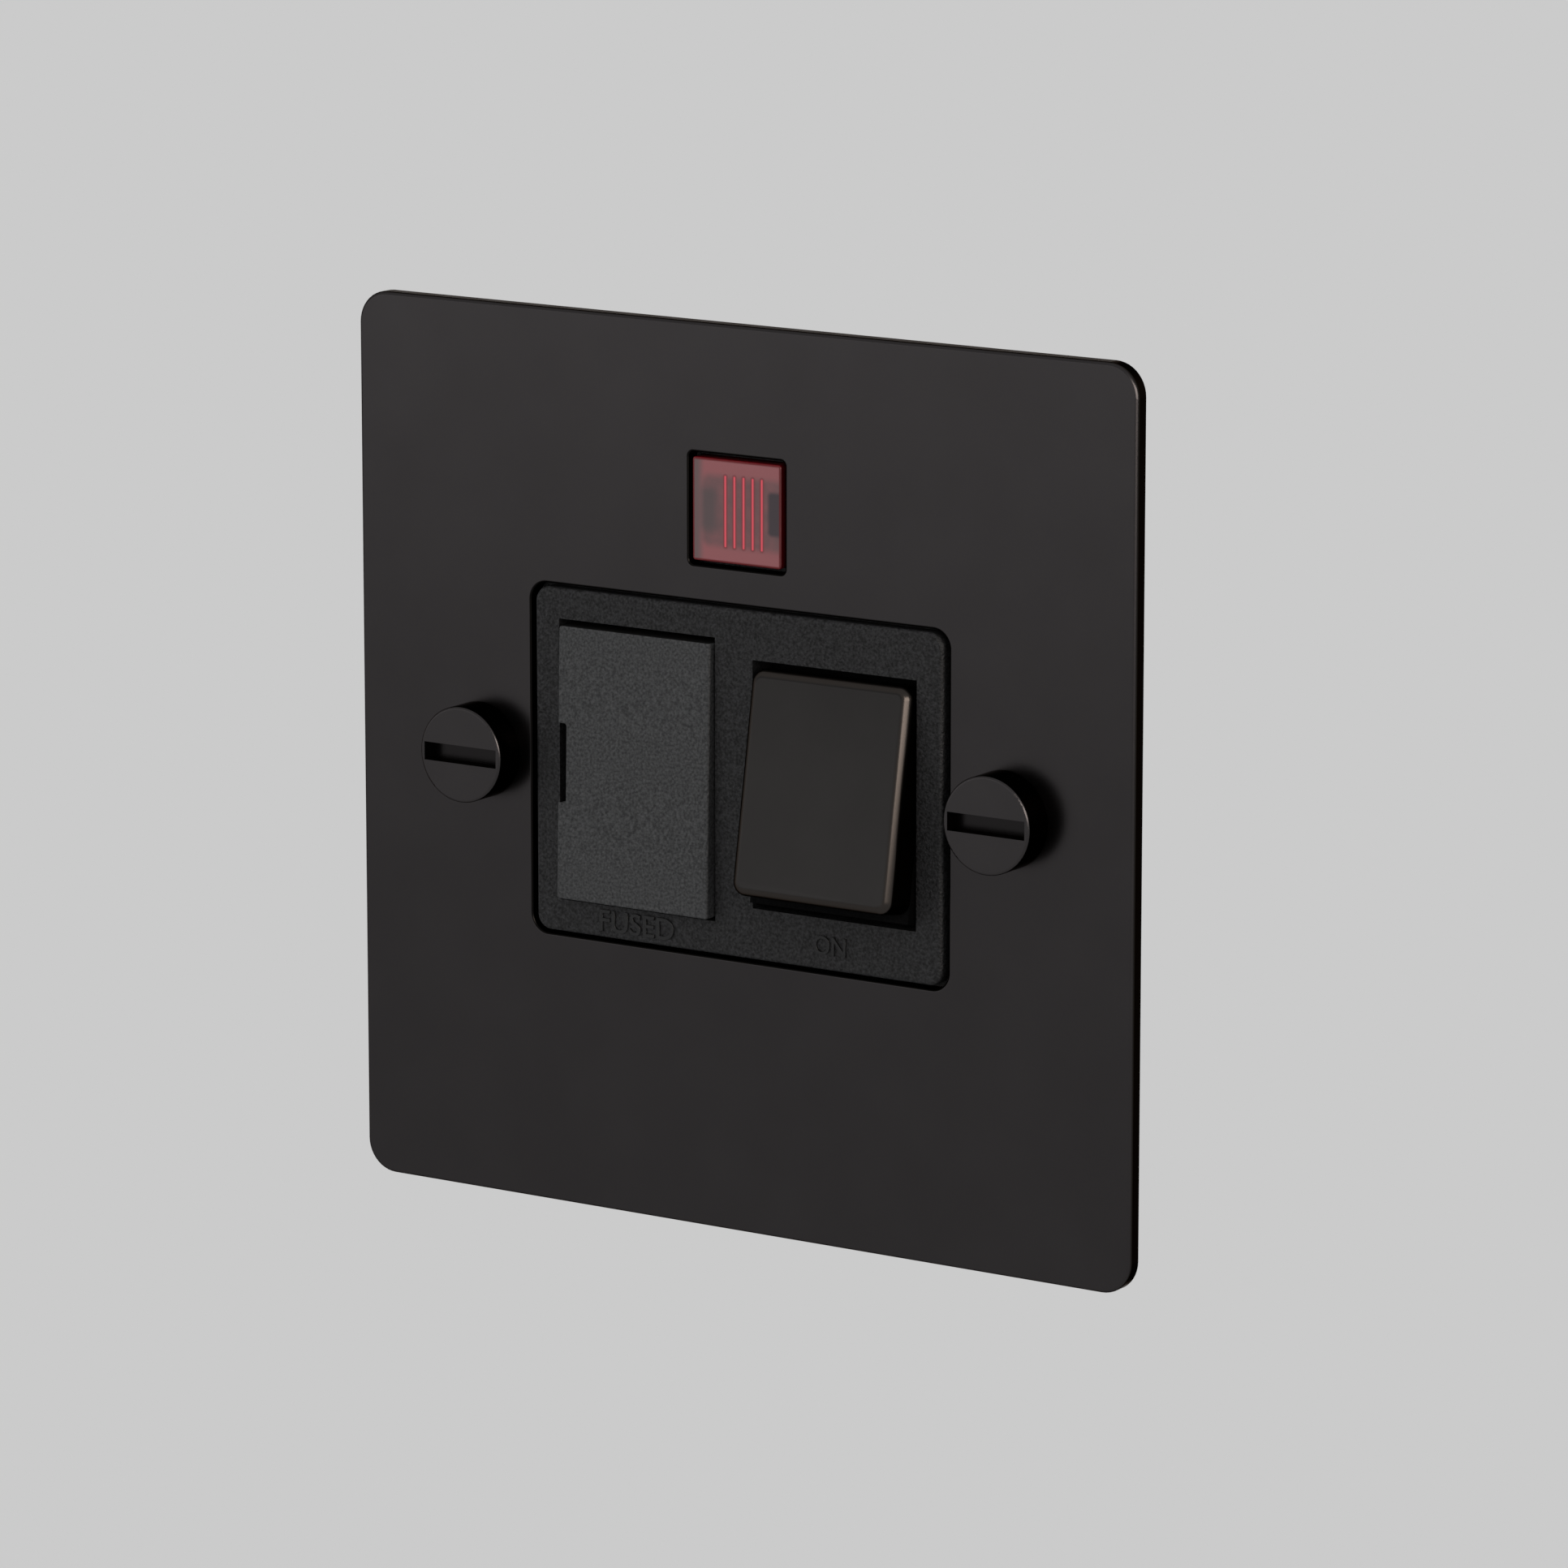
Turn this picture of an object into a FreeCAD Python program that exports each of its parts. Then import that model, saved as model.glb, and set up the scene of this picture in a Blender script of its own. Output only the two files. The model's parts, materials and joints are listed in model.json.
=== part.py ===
import FreeCAD, Part
import math
import os
import Sketcher
from FreeCAD import Placement, Rotation, Vector

# A switched fused connection unit with a neon, for one wall box, in millimetres.
# The origin is the centre of the plate's back face, which lies on the wall. X points right, Y points
# into the wall and Z points up, so the face of the unit looks along -Y.

SIZES = {
    # Front plate
    "plate_width": 88.5,
    "plate_thick": 1.5,
    "plate_corner": 3.2,
    "plate_edge": 0.35,
    "aperture_edge": 0.25,
    "aperture_gap": 0.35,
    "aperture_side_gap": 0.6,
    "aperture_corner": 1.8,
    "screw_spacing": 60.3,
    # Fixing screws
    "screw_diameter": 3.5,
    "screw_neck_diameter": 2.9,
    "screw_clearance": 0.35,
    "screw_length": 18.0,
    "screw_head_diameter": 9.5,
    "screw_head_height": 3.4,
    "screw_head_edge": 0.25,
    "screw_point": 0.5,
    "screw_slot_length": 8.5,
    "screw_slot_width": 1.8,
    "screw_slot_depth": 1.5,
    # Front moulding
    "insert_width": 46.7,
    "insert_height": 34.0,
    "insert_corner": 1.5,
    "insert_proud": 0.2,
    "insert_edge": 0.4,
    "module_width": 51.0,
    "module_height": 52.0,
    "module_corner": 2.0,
    "module_depth": 23.5,
    "flange_thick": 2.2,
    "tunnel_wall": 1.2,
    # Neon indicator
    "neon_rise": 26.3,
    "lens_width": 10.1,
    "lens_height": 10.0,
    "lens_corner": 0.3,
    "lens_edge": 0.15,
    "lens_gap": 0.45,
    "lens_front_wall": 1.6,
    "lens_side_wall": 1.1,
    "lens_back": 4.0,
    "lens_fit": 0.1,
    "lens_rib_width": 0.3,
    "lens_rib_height": 6.9,
    "lens_rib_depth": 0.5,
    "lens_rib_pitch": 1.03,
    "lamp_diameter": 4.2,
    "lamp_front": 1.1,
    "lamp_length": 8.2,
    "lamp_nose": 1.7,
    "lamp_fit": 0.12,
    "lead_diameter": 0.9,
    "lead_spacing": 1.2,
    "lead_depth": 12.4,
    "lead_bend": 1.4,
    "resistor_diameter": 2.4,
    "resistor_length": 6.5,
    "resistor_top": 6.5,
    "resistor_lead_drop": 12.5,
    # Fuse carrier and its tunnel
    "carrier_offset": 11.45,
    "carrier_width": 17.6,
    "carrier_height": 26.9,
    "carrier_corner": 0.3,
    "carrier_proud": 0.45,
    "carrier_thick": 2.4,
    "carrier_edge": 0.2,
    "carrier_side_gap": 0.275,
    "carrier_top_gap": 0.6,
    "carrier_bottom_gap": 0.3,
    "carrier_rise": -0.02,
    "carrier_travel": 12.5,
    "notch_width": 1.0,
    "notch_height": 7.85,
    "tunnel_back": 15.0,
    "leg_thick": 1.2,
    "leg_height": 11.0,
    "leg_inset": 0.1,
    "catch_length": 1.8,
    "catch_height": 2.8,
    "catch_reach": 1.1,
    "catch_fit": 0.2,
    "cradle_width": 8.4,
    "cradle_height": 12.2,
    "cradle_lip": 1.1,
    # Cartridge fuse and its clips
    "fuse_length": 25.4,
    "fuse_cap_diameter": 6.35,
    "fuse_cap_length": 6.3,
    "fuse_cap_wall": 0.4,
    "fuse_barrel_diameter": 5.8,
    "fuse_fit": 0.05,
    "fuse_depth": 5.5,
    "clip_width": 5.0,
    "clip_gap": 0.12,
    "clip_reach": 2.3,
    "metal_thick": 0.8,
    # Rocker
    "rocker_offset": 11.2,
    "rocker_rise": 0.175,
    "rocker_width": 18.0,
    "rocker_length": 21.8,
    "rocker_face": 4.2,
    "rocker_tilt": 10.0,
    "rocker_side_gap": 0.275,
    "rocker_end_gap": 1.22,
    "rocker_well": 4.6,
    "cap_depth": 3.0,
    "cap_wall": 1.0,
    "cap_edge": 0.9,
    "cap_corner": 1.4,
    "cap_fit": 0.05,
    "pivot_depth": 0.5,
    "pivot_diameter": 1.8,
    "pivot_seat": 1.9,
    "pivot_fit": 0.05,
    "pivot_neck": 1.5,
    "skirt_gap": 0.37,
    "skirt_depth": 2.6,
    "skirt_wall": 1.2,
    "pole_offset": 4.4,
    "barrel_diameter": 4.6,
    "barrel_length": 8.0,
    "spring_start": 1.6,
    "spring_length": 3.4,
    "spring_diameter": 2.4,
    "spring_wire": 0.4,
    "spring_turns": 4.0,
    "plunger_diameter": 3.0,
    "plunger_reach": 12.0,
    "plunger_fit": 0.05,
    "plunger_gap": 0.14,
    # See-saw contacts
    "contact_tilt": 9.0,
    "contact_width": 4.4,
    "contact_arm": 8.4,
    "contact_front": 0.5,
    "contact_back": 0.3,
    "contact_bead": 0.9,
    "contact_fit": 0.05,
    "tip_distance": 7.0,
    "tip_diameter": 3.0,
    "tip_height": 1.0,
    "tip_gap": 0.05,
    # Bars
    "bar_width": 4.0,
    "bar_thick": 1.0,
    "bar_jog": 3.0,
    "bar_fit": 0.12,
    "deep_bar_depth": 17.3,
    "line_jog_rise": 11.5,
    "neutral_jog_rise": 7.5,
    # Terminals
    "terminal_width": 7.2,
    "terminal_height": 8.5,
    "terminal_corner": 0.6,
    "terminal_front": 3.4,
    "terminal_back": 5.1,
    "terminal_bore": 4.6,
    "terminal_screw": 4.0,
    "terminal_screw_fit": 0.05,
    "terminal_screw_head": 5.4,
    "terminal_screw_head_height": 1.6,
    "terminal_screw_bevel": 0.32,
    "terminal_screw_travel": 2.6,
    "terminal_slot": 0.9,
    "earth_offset": 20.2,
    "line_in_offset": 12.0,
    "neutral_in_offset": 20.4,
    # Rear base
    "base_wall": 1.5,
    "back_wall": 1.6,
    "base_edge": 0.8,
    "panel_depth": 0.6,
    "panel_margin": 2.0,
    "panel_rib": 2.4,
    "panel_corner": 1.2,
    "bay_funnel": 0.7,
    "bay_start": 17.0,
    "bay_floor_back": 10.0,
    "bay_floor": 1.5,
    "bay_fit": 0.2,
    "tower_wall": 1.4,
    "tower_back": 9.2,
    "tower_edge": 0.6,
    "tower_gap": 0.8,
    "bay_side_wall": 1.05,
    "pedestal_width": 3.0,
    "stop_width": 1.6,
    "lead_window_fit": 0.24,
    # Fixings of the module and the earthing of the plate
    "pillar_diameter": 5.0,
    "pillar_fit": 0.1,
    "pillar_spigot": 3.0,
    "pillar_spigot_length": 0.8,
    "pillar_screw": 3.0,
    "pillar_screw_length": 6.5,
    "pillar_screw_head": 5.4,
    "pillar_screw_room": 0.3,
    "pillar_screw_head_height": 2.0,
    "pillar_screw_edge": 0.5,
    "pillar_screw_slot": 0.9,
    "upper_pillar_offset": 11.7,
    "upper_pillar_rise": 21.0,
    "lower_pillar_offset": 2.0,
    "lower_pillar_drop": 21.2,
    "earth_strap_width": 4.0,
    "earth_strap_depth": 12.0,
    "earth_strap_inset": 1.0,
    "earth_leaf_width": 4.4,
    "earth_leaf_foot": 2.4,
}

doc = FreeCAD.newDocument("fused_spur_unit")
sheet = doc.addObject("Spreadsheet::Sheet", "Sizes")


class Size:
    """A length, known both as an expression of the sheet's cells and as a number."""

    def __init__(self, text, value):
        self.text = text
        self.value = value

    def __add__(self, other):
        other = sized(other)
        return Size(f"({self.text} + {other.text})", self.value + other.value)

    def __sub__(self, other):
        other = sized(other)
        return Size(f"({self.text} - {other.text})", self.value - other.value)

    def __mul__(self, other):
        other = sized(other)
        return Size(f"({self.text} * {other.text})", self.value * other.value)

    def __truediv__(self, other):
        other = sized(other)
        return Size(f"({self.text} / {other.text})", self.value / other.value)

    def __neg__(self):
        return Size(f"(-1 * {self.text})", -self.value)

    def __rsub__(self, other):
        return sized(other) - self

    __radd__ = __add__
    __rmul__ = __mul__


def sized(length):
    return length if isinstance(length, Size) else Size(repr(float(length)), float(length))


class Cells:
    """The sheet's aliases, each as a Size."""


cell = Cells()
for row, (alias, number) in enumerate(SIZES.items(), start=1):
    sheet.set(f"A{row}", alias)
    sheet.set(f"B{row}", str(number))
    sheet.setAlias(f"B{row}", alias)
    setattr(cell, alias, Size(f"Sizes.{alias}", number))
doc.recompute()

# Levels and places that several pieces share
PLATE_FRONT = -cell.plate_thick
INSERT_FRONT = PLATE_FRONT - cell.insert_proud
CARRIER_FRONT = PLATE_FRONT - cell.carrier_proud
CARRIER_BACK = CARRIER_FRONT + cell.carrier_thick
CARRIER_X = -cell.carrier_offset
TUNNEL_WIDTH = cell.carrier_width + 2 * cell.carrier_side_gap
TUNNEL_HEIGHT = cell.carrier_height + cell.carrier_top_gap + cell.carrier_bottom_gap
TUNNEL_Z = cell.carrier_rise + (cell.carrier_top_gap - cell.carrier_bottom_gap) / 2
WELL_WIDTH = cell.rocker_width + 2 * cell.rocker_side_gap
WELL_HEIGHT = cell.rocker_length + 2 * cell.rocker_end_gap
SKIRT_RADIUS = WELL_HEIGHT / 2 - cell.skirt_gap
PIVOT_RADIUS = cell.pivot_diameter / 2
LINE_POLE = cell.rocker_offset - cell.pole_offset
NEUTRAL_POLE = cell.rocker_offset + cell.pole_offset
CONTACT_Y = cell.pivot_depth + cell.plunger_reach + cell.plunger_gap + cell.contact_front
FIXED_TIP_FRONT = CONTACT_Y + cell.contact_back + cell.tip_height + cell.tip_gap
FIXED_BAR_FRONT = FIXED_TIP_FRONT + cell.tip_height
DEEP_BAR_BACK = cell.deep_bar_depth + cell.bar_thick
CAVITY_BACK = cell.module_depth - cell.back_wall
TERMINAL_Y = cell.bay_floor_back + cell.terminal_front
TERMINAL_START = cell.bay_start + 2 * cell.bay_fit
TERMINAL_RISE = TERMINAL_START + cell.terminal_height / 2
BAY_FLOOR_FRONT = cell.bay_floor_back - cell.bay_floor
LENS_HOLE_WIDTH = cell.lens_width + 2 * cell.lens_fit
LENS_HOLE_HEIGHT = cell.lens_height + 2 * cell.lens_fit
TOWER_WIDTH = LENS_HOLE_WIDTH + 2 * cell.tower_wall
TOWER_HEIGHT = LENS_HOLE_HEIGHT + 2 * cell.tower_wall
CLIP_RISE = (cell.fuse_length - cell.fuse_cap_length) / 2
CLIP_BACK = cell.fuse_depth + cell.fuse_cap_diameter / 2 + cell.clip_gap
EARTH_STRAP_X = -(cell.earth_offset + cell.terminal_width / 2 - cell.earth_strap_inset)

nodes = []


def bind(thing, name, size):
    thing.setExpression(name, sized(size).text)


def keep(thing, label):
    """Name a finished piece and list it for export."""
    thing.Label = label
    nodes.append(thing)
    return thing


# Sketch outlines


def rectangle(x, y, width, height):
    """A plain rectangle centred on (x, y)."""
    half_w = sized(width) / 2
    half_h = sized(height) / 2
    return polygon(
        (x - half_w, y - half_h), (x + half_w, y - half_h), (x + half_w, y + half_h), (x - half_w, y + half_h)
    )


def polygon(*corners):
    """Straight lines from corner to corner, each corner placed from the sketch's origin."""

    def draw(sketch):
        points = [(sized(x), sized(y)) for x, y in corners]
        lines = []
        for i, (x, y) in enumerate(points):
            end_x, end_y = points[(i + 1) % len(points)]
            line = Part.LineSegment(Vector(x.value, y.value, 0), Vector(end_x.value, end_y.value, 0))
            lines.append(sketch.addGeometry(line, False))
        for i, line in enumerate(lines):
            following = lines[(i + 1) % len(lines)]
            sketch.addConstraint(Sketcher.Constraint("Coincident", line, 2, following, 1))
        for line, (x, y) in zip(lines, points):
            place_point(sketch, line, 1, x, y)

    return draw


def rounded(x, y, width, height, radius):
    """A rectangle centred on (x, y) with its corners rounded: four arcs, each tangent to two lines."""

    def draw(sketch):
        r = sized(radius)
        right = x + sized(width) / 2 - r
        left = x - sized(width) / 2 + r
        top = y + sized(height) / 2 - r
        bottom = y - sized(height) / 2 + r
        centres = [(right, top), (left, top), (left, bottom), (right, bottom)]
        arcs = []
        for i, (cx, cy) in enumerate(centres):
            circle = Part.Circle(Vector(cx.value, cy.value, 0), Vector(0, 0, 1), r.value)
            arc = Part.ArcOfCircle(circle, i * math.pi / 2, (i + 1) * math.pi / 2)
            arcs.append(sketch.addGeometry(arc, False))
        for i in range(4):
            start = sketch.getPoint(arcs[i], 2)
            end = sketch.getPoint(arcs[(i + 1) % 4], 1)
            side = sketch.addGeometry(Part.LineSegment(start, end), False)
            sketch.addConstraint(Sketcher.Constraint("Tangent", arcs[i], 2, side, 1))
            sketch.addConstraint(Sketcher.Constraint("Tangent", side, 2, arcs[(i + 1) % 4], 1))
            sketch.addConstraint(Sketcher.Constraint("Vertical" if i % 2 else "Horizontal", side))
        for other in arcs[1:]:
            sketch.addConstraint(Sketcher.Constraint("Equal", arcs[0], other))
        radius_index = sketch.addConstraint(Sketcher.Constraint("Radius", arcs[0], r.value))
        bind(sketch, f"Constraints[{radius_index}]", r)
        place_point(sketch, arcs[0], 3, right, top)
        place_point(sketch, arcs[2], 3, left, bottom)

    return draw


def circle(x, y, diameter):
    """A circle centred on (x, y)."""

    def draw(sketch):
        cx, cy, radius = sized(x), sized(y), sized(diameter) / 2
        ring = sketch.addGeometry(
            Part.Circle(Vector(cx.value, cy.value, 0), Vector(0, 0, 1), radius.value), False
        )
        index = sketch.addConstraint(Sketcher.Constraint("Radius", ring, radius.value))
        bind(sketch, f"Constraints[{index}]", radius)
        place_point(sketch, ring, 3, cx, cy)

    return draw


def place_point(sketch, geometry, point, x, y):
    """Hold one point of a sketch at (x, y) from its origin."""
    for kind, size in (("DistanceX", x), ("DistanceY", y)):
        index = sketch.addConstraint(Sketcher.Constraint(kind, -1, 1, geometry, point, size.value))
        bind(sketch, f"Constraints[{index}]", size)


# Body features. A sketch on XZ lies across Y, one on YZ across X and one on XY across Z.
NORMALS = {"XZ_Plane": -1, "YZ_Plane": 1, "XY_Plane": 1}


def new_body(label):
    return keep(doc.addObject("PartDesign::Body", label), label)


def sketch_at(body, name, plane, level, outlines):
    sketch = body.newObject("Sketcher::SketchObject", name + "_sketch")
    origin_plane = next(f for f in body.Origin.OriginFeatures if f.Role == plane)
    sketch.AttachmentSupport = [(origin_plane, "")]
    sketch.MapMode = "FlatFace"
    bind(sketch, "AttachmentOffset.Base.z", sized(level) * NORMALS[plane])
    for outline in outlines:
        outline(sketch)
    return sketch


def add(body, name, plane, low, high, *outlines):
    """Pad outlines on a plane from the low level up to the high level along the plane's axis."""
    pad = body.newObject("PartDesign::Pad", name)
    pad.Profile = sketch_at(body, name, plane, low, outlines)
    pad.Reversed = NORMALS[plane] < 0
    bind(pad, "Length", high - sized(low))
    body.Tip = pad
    doc.recompute()
    return pad


def take(body, name, plane, low, high, *outlines):
    """Pocket outlines from the low level up to the high level, and see that something was cut."""
    before = body.Shape.Volume
    pocket = body.newObject("PartDesign::Pocket", name)
    pocket.Profile = sketch_at(body, name, plane, low, outlines)
    pocket.Reversed = NORMALS[plane] > 0
    bind(pocket, "Length", high - sized(low))
    body.Tip = pocket
    doc.recompute()
    if not body.Shape.Volume < before:
        raise RuntimeError(f"{name} cut nothing from {body.Label}")
    return pocket


def soften(body, name, radius, picked, kind="Fillet"):
    """Fillet or chamfer the edges of a body that picked(edge) says yes to."""
    tip = body.Tip
    names = [f"Edge{i}" for i, edge in enumerate(tip.Shape.Edges, start=1) if picked(edge)]
    if not names:
        raise RuntimeError(f"{name} found no edge on {body.Label}")
    feature = body.newObject(f"PartDesign::{kind}", name)
    feature.Base = (tip, names)
    bind(feature, "Radius" if kind == "Fillet" else "Size", radius)
    body.Tip = feature
    doc.recompute()
    return feature


def lies_at(level, axis="y", inside=None):
    """A test for edges that lie wholly at one level along an axis, and inside a circle about that axis."""

    def picked(edge):
        box = edge.BoundBox
        low = getattr(box, axis.upper() + "Min")
        high = getattr(box, axis.upper() + "Max")
        at_level = abs(low - sized(level).value) < 1e-4 and abs(high - sized(level).value) < 1e-4
        if not at_level or inside is None:
            return at_level
        x, z, reach = inside
        centre = box.Center
        return math.hypot(centre.x - sized(x).value, centre.z - sized(z).value) < sized(reach).value

    return picked


# Primitives and booleans for the pieces that are not made in a body


def block(name, x, y, z):
    """A box between two limits along each axis."""
    shape = doc.addObject("Part::Box", name)
    for side, axis, (low, high) in (("Length", "x", x), ("Width", "y", y), ("Height", "z", z)):
        bind(shape, side, sized(high) - low)
        bind(shape, f"Placement.Base.{axis}", low)
    return shape


TURNS = {
    "x": Rotation(Vector(0, 0, 1), Vector(1, 0, 0)),
    "y": Rotation(Vector(0, 0, 1), Vector(0, 1, 0)),
    "z": Rotation(),
}


def rod(name, axis, diameter, low, high, **centre):
    """A cylinder along an axis between two levels, centred where the other two axes say."""
    shape = doc.addObject("Part::Cylinder", name)
    shape.Placement = Placement(Vector(), TURNS[axis])
    bind(shape, "Radius", sized(diameter) / 2)
    bind(shape, "Height", sized(high) - low)
    bind(shape, f"Placement.Base.{axis}", low)
    for other, size in centre.items():
        bind(shape, f"Placement.Base.{other}", size)
    return shape


def united(name, *shapes):
    fusion = doc.addObject("Part::MultiFuse", name)
    fusion.Shapes = list(shapes)
    fusion.Refine = True
    return fusion


def shared(name, *shapes):
    common = doc.addObject("Part::MultiCommon", name)
    common.Shapes = list(shapes)
    return common


def carried(name, shape):
    """One shape held in a frame of its own, so that it can be turned as a whole."""
    frame = doc.addObject("Part::Compound", name)
    frame.Links = [shape]
    return frame


def cut_from(name, base, *tools):
    cut = doc.addObject("Part::Cut", name)
    cut.Base = base
    cut.Tool = tools[0] if len(tools) == 1 else united(name + "_tools", *tools)
    cut.Refine = True
    return cut


def turn_about_x(piece, angle, way, x, y, z):
    """Turn a piece about the X axis of its own frame, then carry it to (x, y, z)."""
    piece.Placement = Placement(Vector(), Rotation(Vector(way, 0, 0), 1))
    bind(piece, "Placement.Rotation.Angle", angle)
    for axis, size in (("x", x), ("y", y), ("z", z)):
        bind(piece, f"Placement.Base.{axis}", size)


def move_to(piece, x, y, z):
    for axis, size in (("x", x), ("y", y), ("z", z)):
        bind(piece, f"Placement.Base.{axis}", size)


# Front plate: flat metal, one aperture for the insert, one for the lens, two screw holes


def make_front_plate():
    body = new_body("front_plate")
    half_spacing = cell.screw_spacing / 2
    add(
        body,
        "plate_blank",
        "XZ_Plane",
        PLATE_FRONT,
        0,
        rounded(sized(0), sized(0), cell.plate_width, cell.plate_width, cell.plate_corner),
    )
    soften(body, "plate_front_edge", cell.plate_edge, lies_at(PLATE_FRONT))
    hole = cell.screw_diameter + 2 * cell.screw_clearance
    take(
        body,
        "plate_apertures",
        "XZ_Plane",
        PLATE_FRONT,
        0,
        rounded(
            sized(0),
            sized(0),
            cell.insert_width + 2 * cell.aperture_side_gap,
            cell.insert_height + 2 * cell.aperture_gap,
            cell.aperture_corner,
        ),
        rounded(
            sized(0),
            cell.neon_rise,
            cell.lens_width + 2 * cell.lens_gap,
            cell.lens_height + 2 * cell.lens_gap,
            cell.lens_corner + cell.lens_gap / 2,
        ),
        circle(half_spacing, 0, hole),
        circle(-half_spacing, 0, hole),
    )
    soften(
        body,
        "aperture_front_edges",
        cell.aperture_edge,
        lies_at(PLATE_FRONT, inside=(0, 0, cell.plate_width / 2 - cell.plate_corner)),
    )
    take(
        body,
        "pillar_spigot_holes",
        "XZ_Plane",
        -cell.pillar_spigot_length - cell.pillar_fit,
        0,
        circle(-cell.upper_pillar_offset, cell.upper_pillar_rise, cell.pillar_spigot + cell.pillar_fit),
        circle(cell.lower_pillar_offset, -cell.lower_pillar_drop, cell.pillar_spigot + cell.pillar_fit),
    )


# Front moulding: the insert face, the flange behind the plate, the carrier's tunnel, the rocker's well
# and the tower that holds the lens and the lamp


def make_front_moulding():
    body = new_body("front_moulding")
    add(
        body,
        "insert_face",
        "XZ_Plane",
        INSERT_FRONT,
        0,
        rounded(sized(0), sized(0), cell.insert_width, cell.insert_height, cell.insert_corner),
    )
    soften(body, "insert_front_edge", cell.insert_edge, lies_at(INSERT_FRONT))
    add(
        body,
        "flange",
        "XZ_Plane",
        0,
        cell.flange_thick,
        rounded(sized(0), sized(0), cell.module_width, cell.module_height, cell.module_corner),
    )
    add(
        body,
        "lens_tower",
        "XZ_Plane",
        0,
        cell.tower_back,
        rounded(sized(0), cell.neon_rise, TOWER_WIDTH, TOWER_HEIGHT, cell.module_corner / 2),
    )
    soften(body, "tower_back_edge", cell.tower_edge, lies_at(cell.tower_back))
    add(
        body,
        "tunnel_outside",
        "XZ_Plane",
        0,
        cell.tunnel_back,
        rectangle(
            CARRIER_X, TUNNEL_Z, TUNNEL_WIDTH + 2 * cell.tunnel_wall, TUNNEL_HEIGHT + 2 * cell.tunnel_wall
        ),
    )
    add(
        body,
        "well_outside",
        "XZ_Plane",
        0,
        cell.rocker_well,
        rectangle(
            cell.rocker_offset,
            cell.rocker_rise,
            WELL_WIDTH + 2 * cell.tunnel_wall,
            WELL_HEIGHT + 2 * cell.tunnel_wall,
        ),
    )
    take(
        body,
        "tunnel",
        "XZ_Plane",
        INSERT_FRONT,
        cell.tunnel_back,
        rectangle(CARRIER_X, TUNNEL_Z, TUNNEL_WIDTH, TUNNEL_HEIGHT),
    )
    take(
        body,
        "well",
        "XZ_Plane",
        INSERT_FRONT,
        cell.rocker_well,
        rectangle(cell.rocker_offset, cell.rocker_rise, WELL_WIDTH, WELL_HEIGHT),
    )
    take(
        body,
        "lens_pocket",
        "XZ_Plane",
        0,
        cell.lens_back,
        rectangle(sized(0), cell.neon_rise, LENS_HOLE_WIDTH, LENS_HOLE_HEIGHT),
    )
    take(
        body,
        "lamp_bore",
        "XZ_Plane",
        cell.lens_back,
        cell.tower_back,
        circle(0, cell.neon_rise, cell.lamp_diameter + 2 * cell.lamp_fit),
    )
    # Snap-in seats for the pivot pin, open to the back through a neck narrower than the pin
    seat_low = cell.rocker_offset - WELL_WIDTH / 2 - cell.pivot_seat
    seat_high = cell.rocker_offset + WELL_WIDTH / 2 + cell.pivot_seat
    take(
        body,
        "pivot_seats",
        "YZ_Plane",
        seat_low,
        seat_high,
        circle(cell.pivot_depth, cell.rocker_rise, cell.pivot_diameter + 2 * cell.pivot_fit),
    )
    neck_end = cell.rocker_well
    take(
        body,
        "pivot_necks",
        "YZ_Plane",
        seat_low,
        seat_high,
        rectangle(
            (cell.pivot_depth + neck_end) / 2, cell.rocker_rise, neck_end - cell.pivot_depth, cell.pivot_neck
        ),
    )
    # Slots in the tunnel's side walls in which the carrier's catches travel
    slot_front = catch_front() - cell.carrier_travel - cell.catch_fit
    take(
        body,
        "catch_slots",
        "YZ_Plane",
        CARRIER_X - TUNNEL_WIDTH / 2 - cell.tunnel_wall,
        CARRIER_X + TUNNEL_WIDTH / 2 + cell.tunnel_wall,
        rectangle(
            (slot_front + cell.tunnel_back) / 2,
            TUNNEL_Z,
            cell.tunnel_back - slot_front,
            cell.catch_height + 2 * cell.catch_fit,
        ),
    )
    take(
        body,
        "flange_holes",
        "XZ_Plane",
        0,
        cell.flange_thick,
        circle(-cell.upper_pillar_offset, cell.upper_pillar_rise, cell.pillar_diameter + 2 * cell.pillar_fit),
        circle(cell.lower_pillar_offset, -cell.lower_pillar_drop, cell.pillar_diameter + 2 * cell.pillar_fit),
        rectangle(
            -cell.earth_offset,
            TERMINAL_RISE - cell.earth_leaf_foot / 2,
            cell.earth_leaf_width + 2 * cell.bar_fit,
            cell.earth_leaf_foot + 2 * cell.bar_fit,
        ),
    )


def catch_front():
    """The front of the catches on the carrier's legs."""
    return cell.tunnel_back - cell.catch_length - cell.catch_fit


# Rear base: a tray that carries the metalwork, with open bays for the terminals at its top and bottom


TERMINALS = {
    "line_in": (cell.line_in_offset, 1),
    "neutral_in": (cell.neutral_in_offset, 1),
    "earth_in": (-cell.earth_offset, 1),
    "line_out": (CARRIER_X, -1),
    "neutral_out": (NEUTRAL_POLE, -1),
    "earth_out": (-cell.earth_offset, -1),
}


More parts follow.
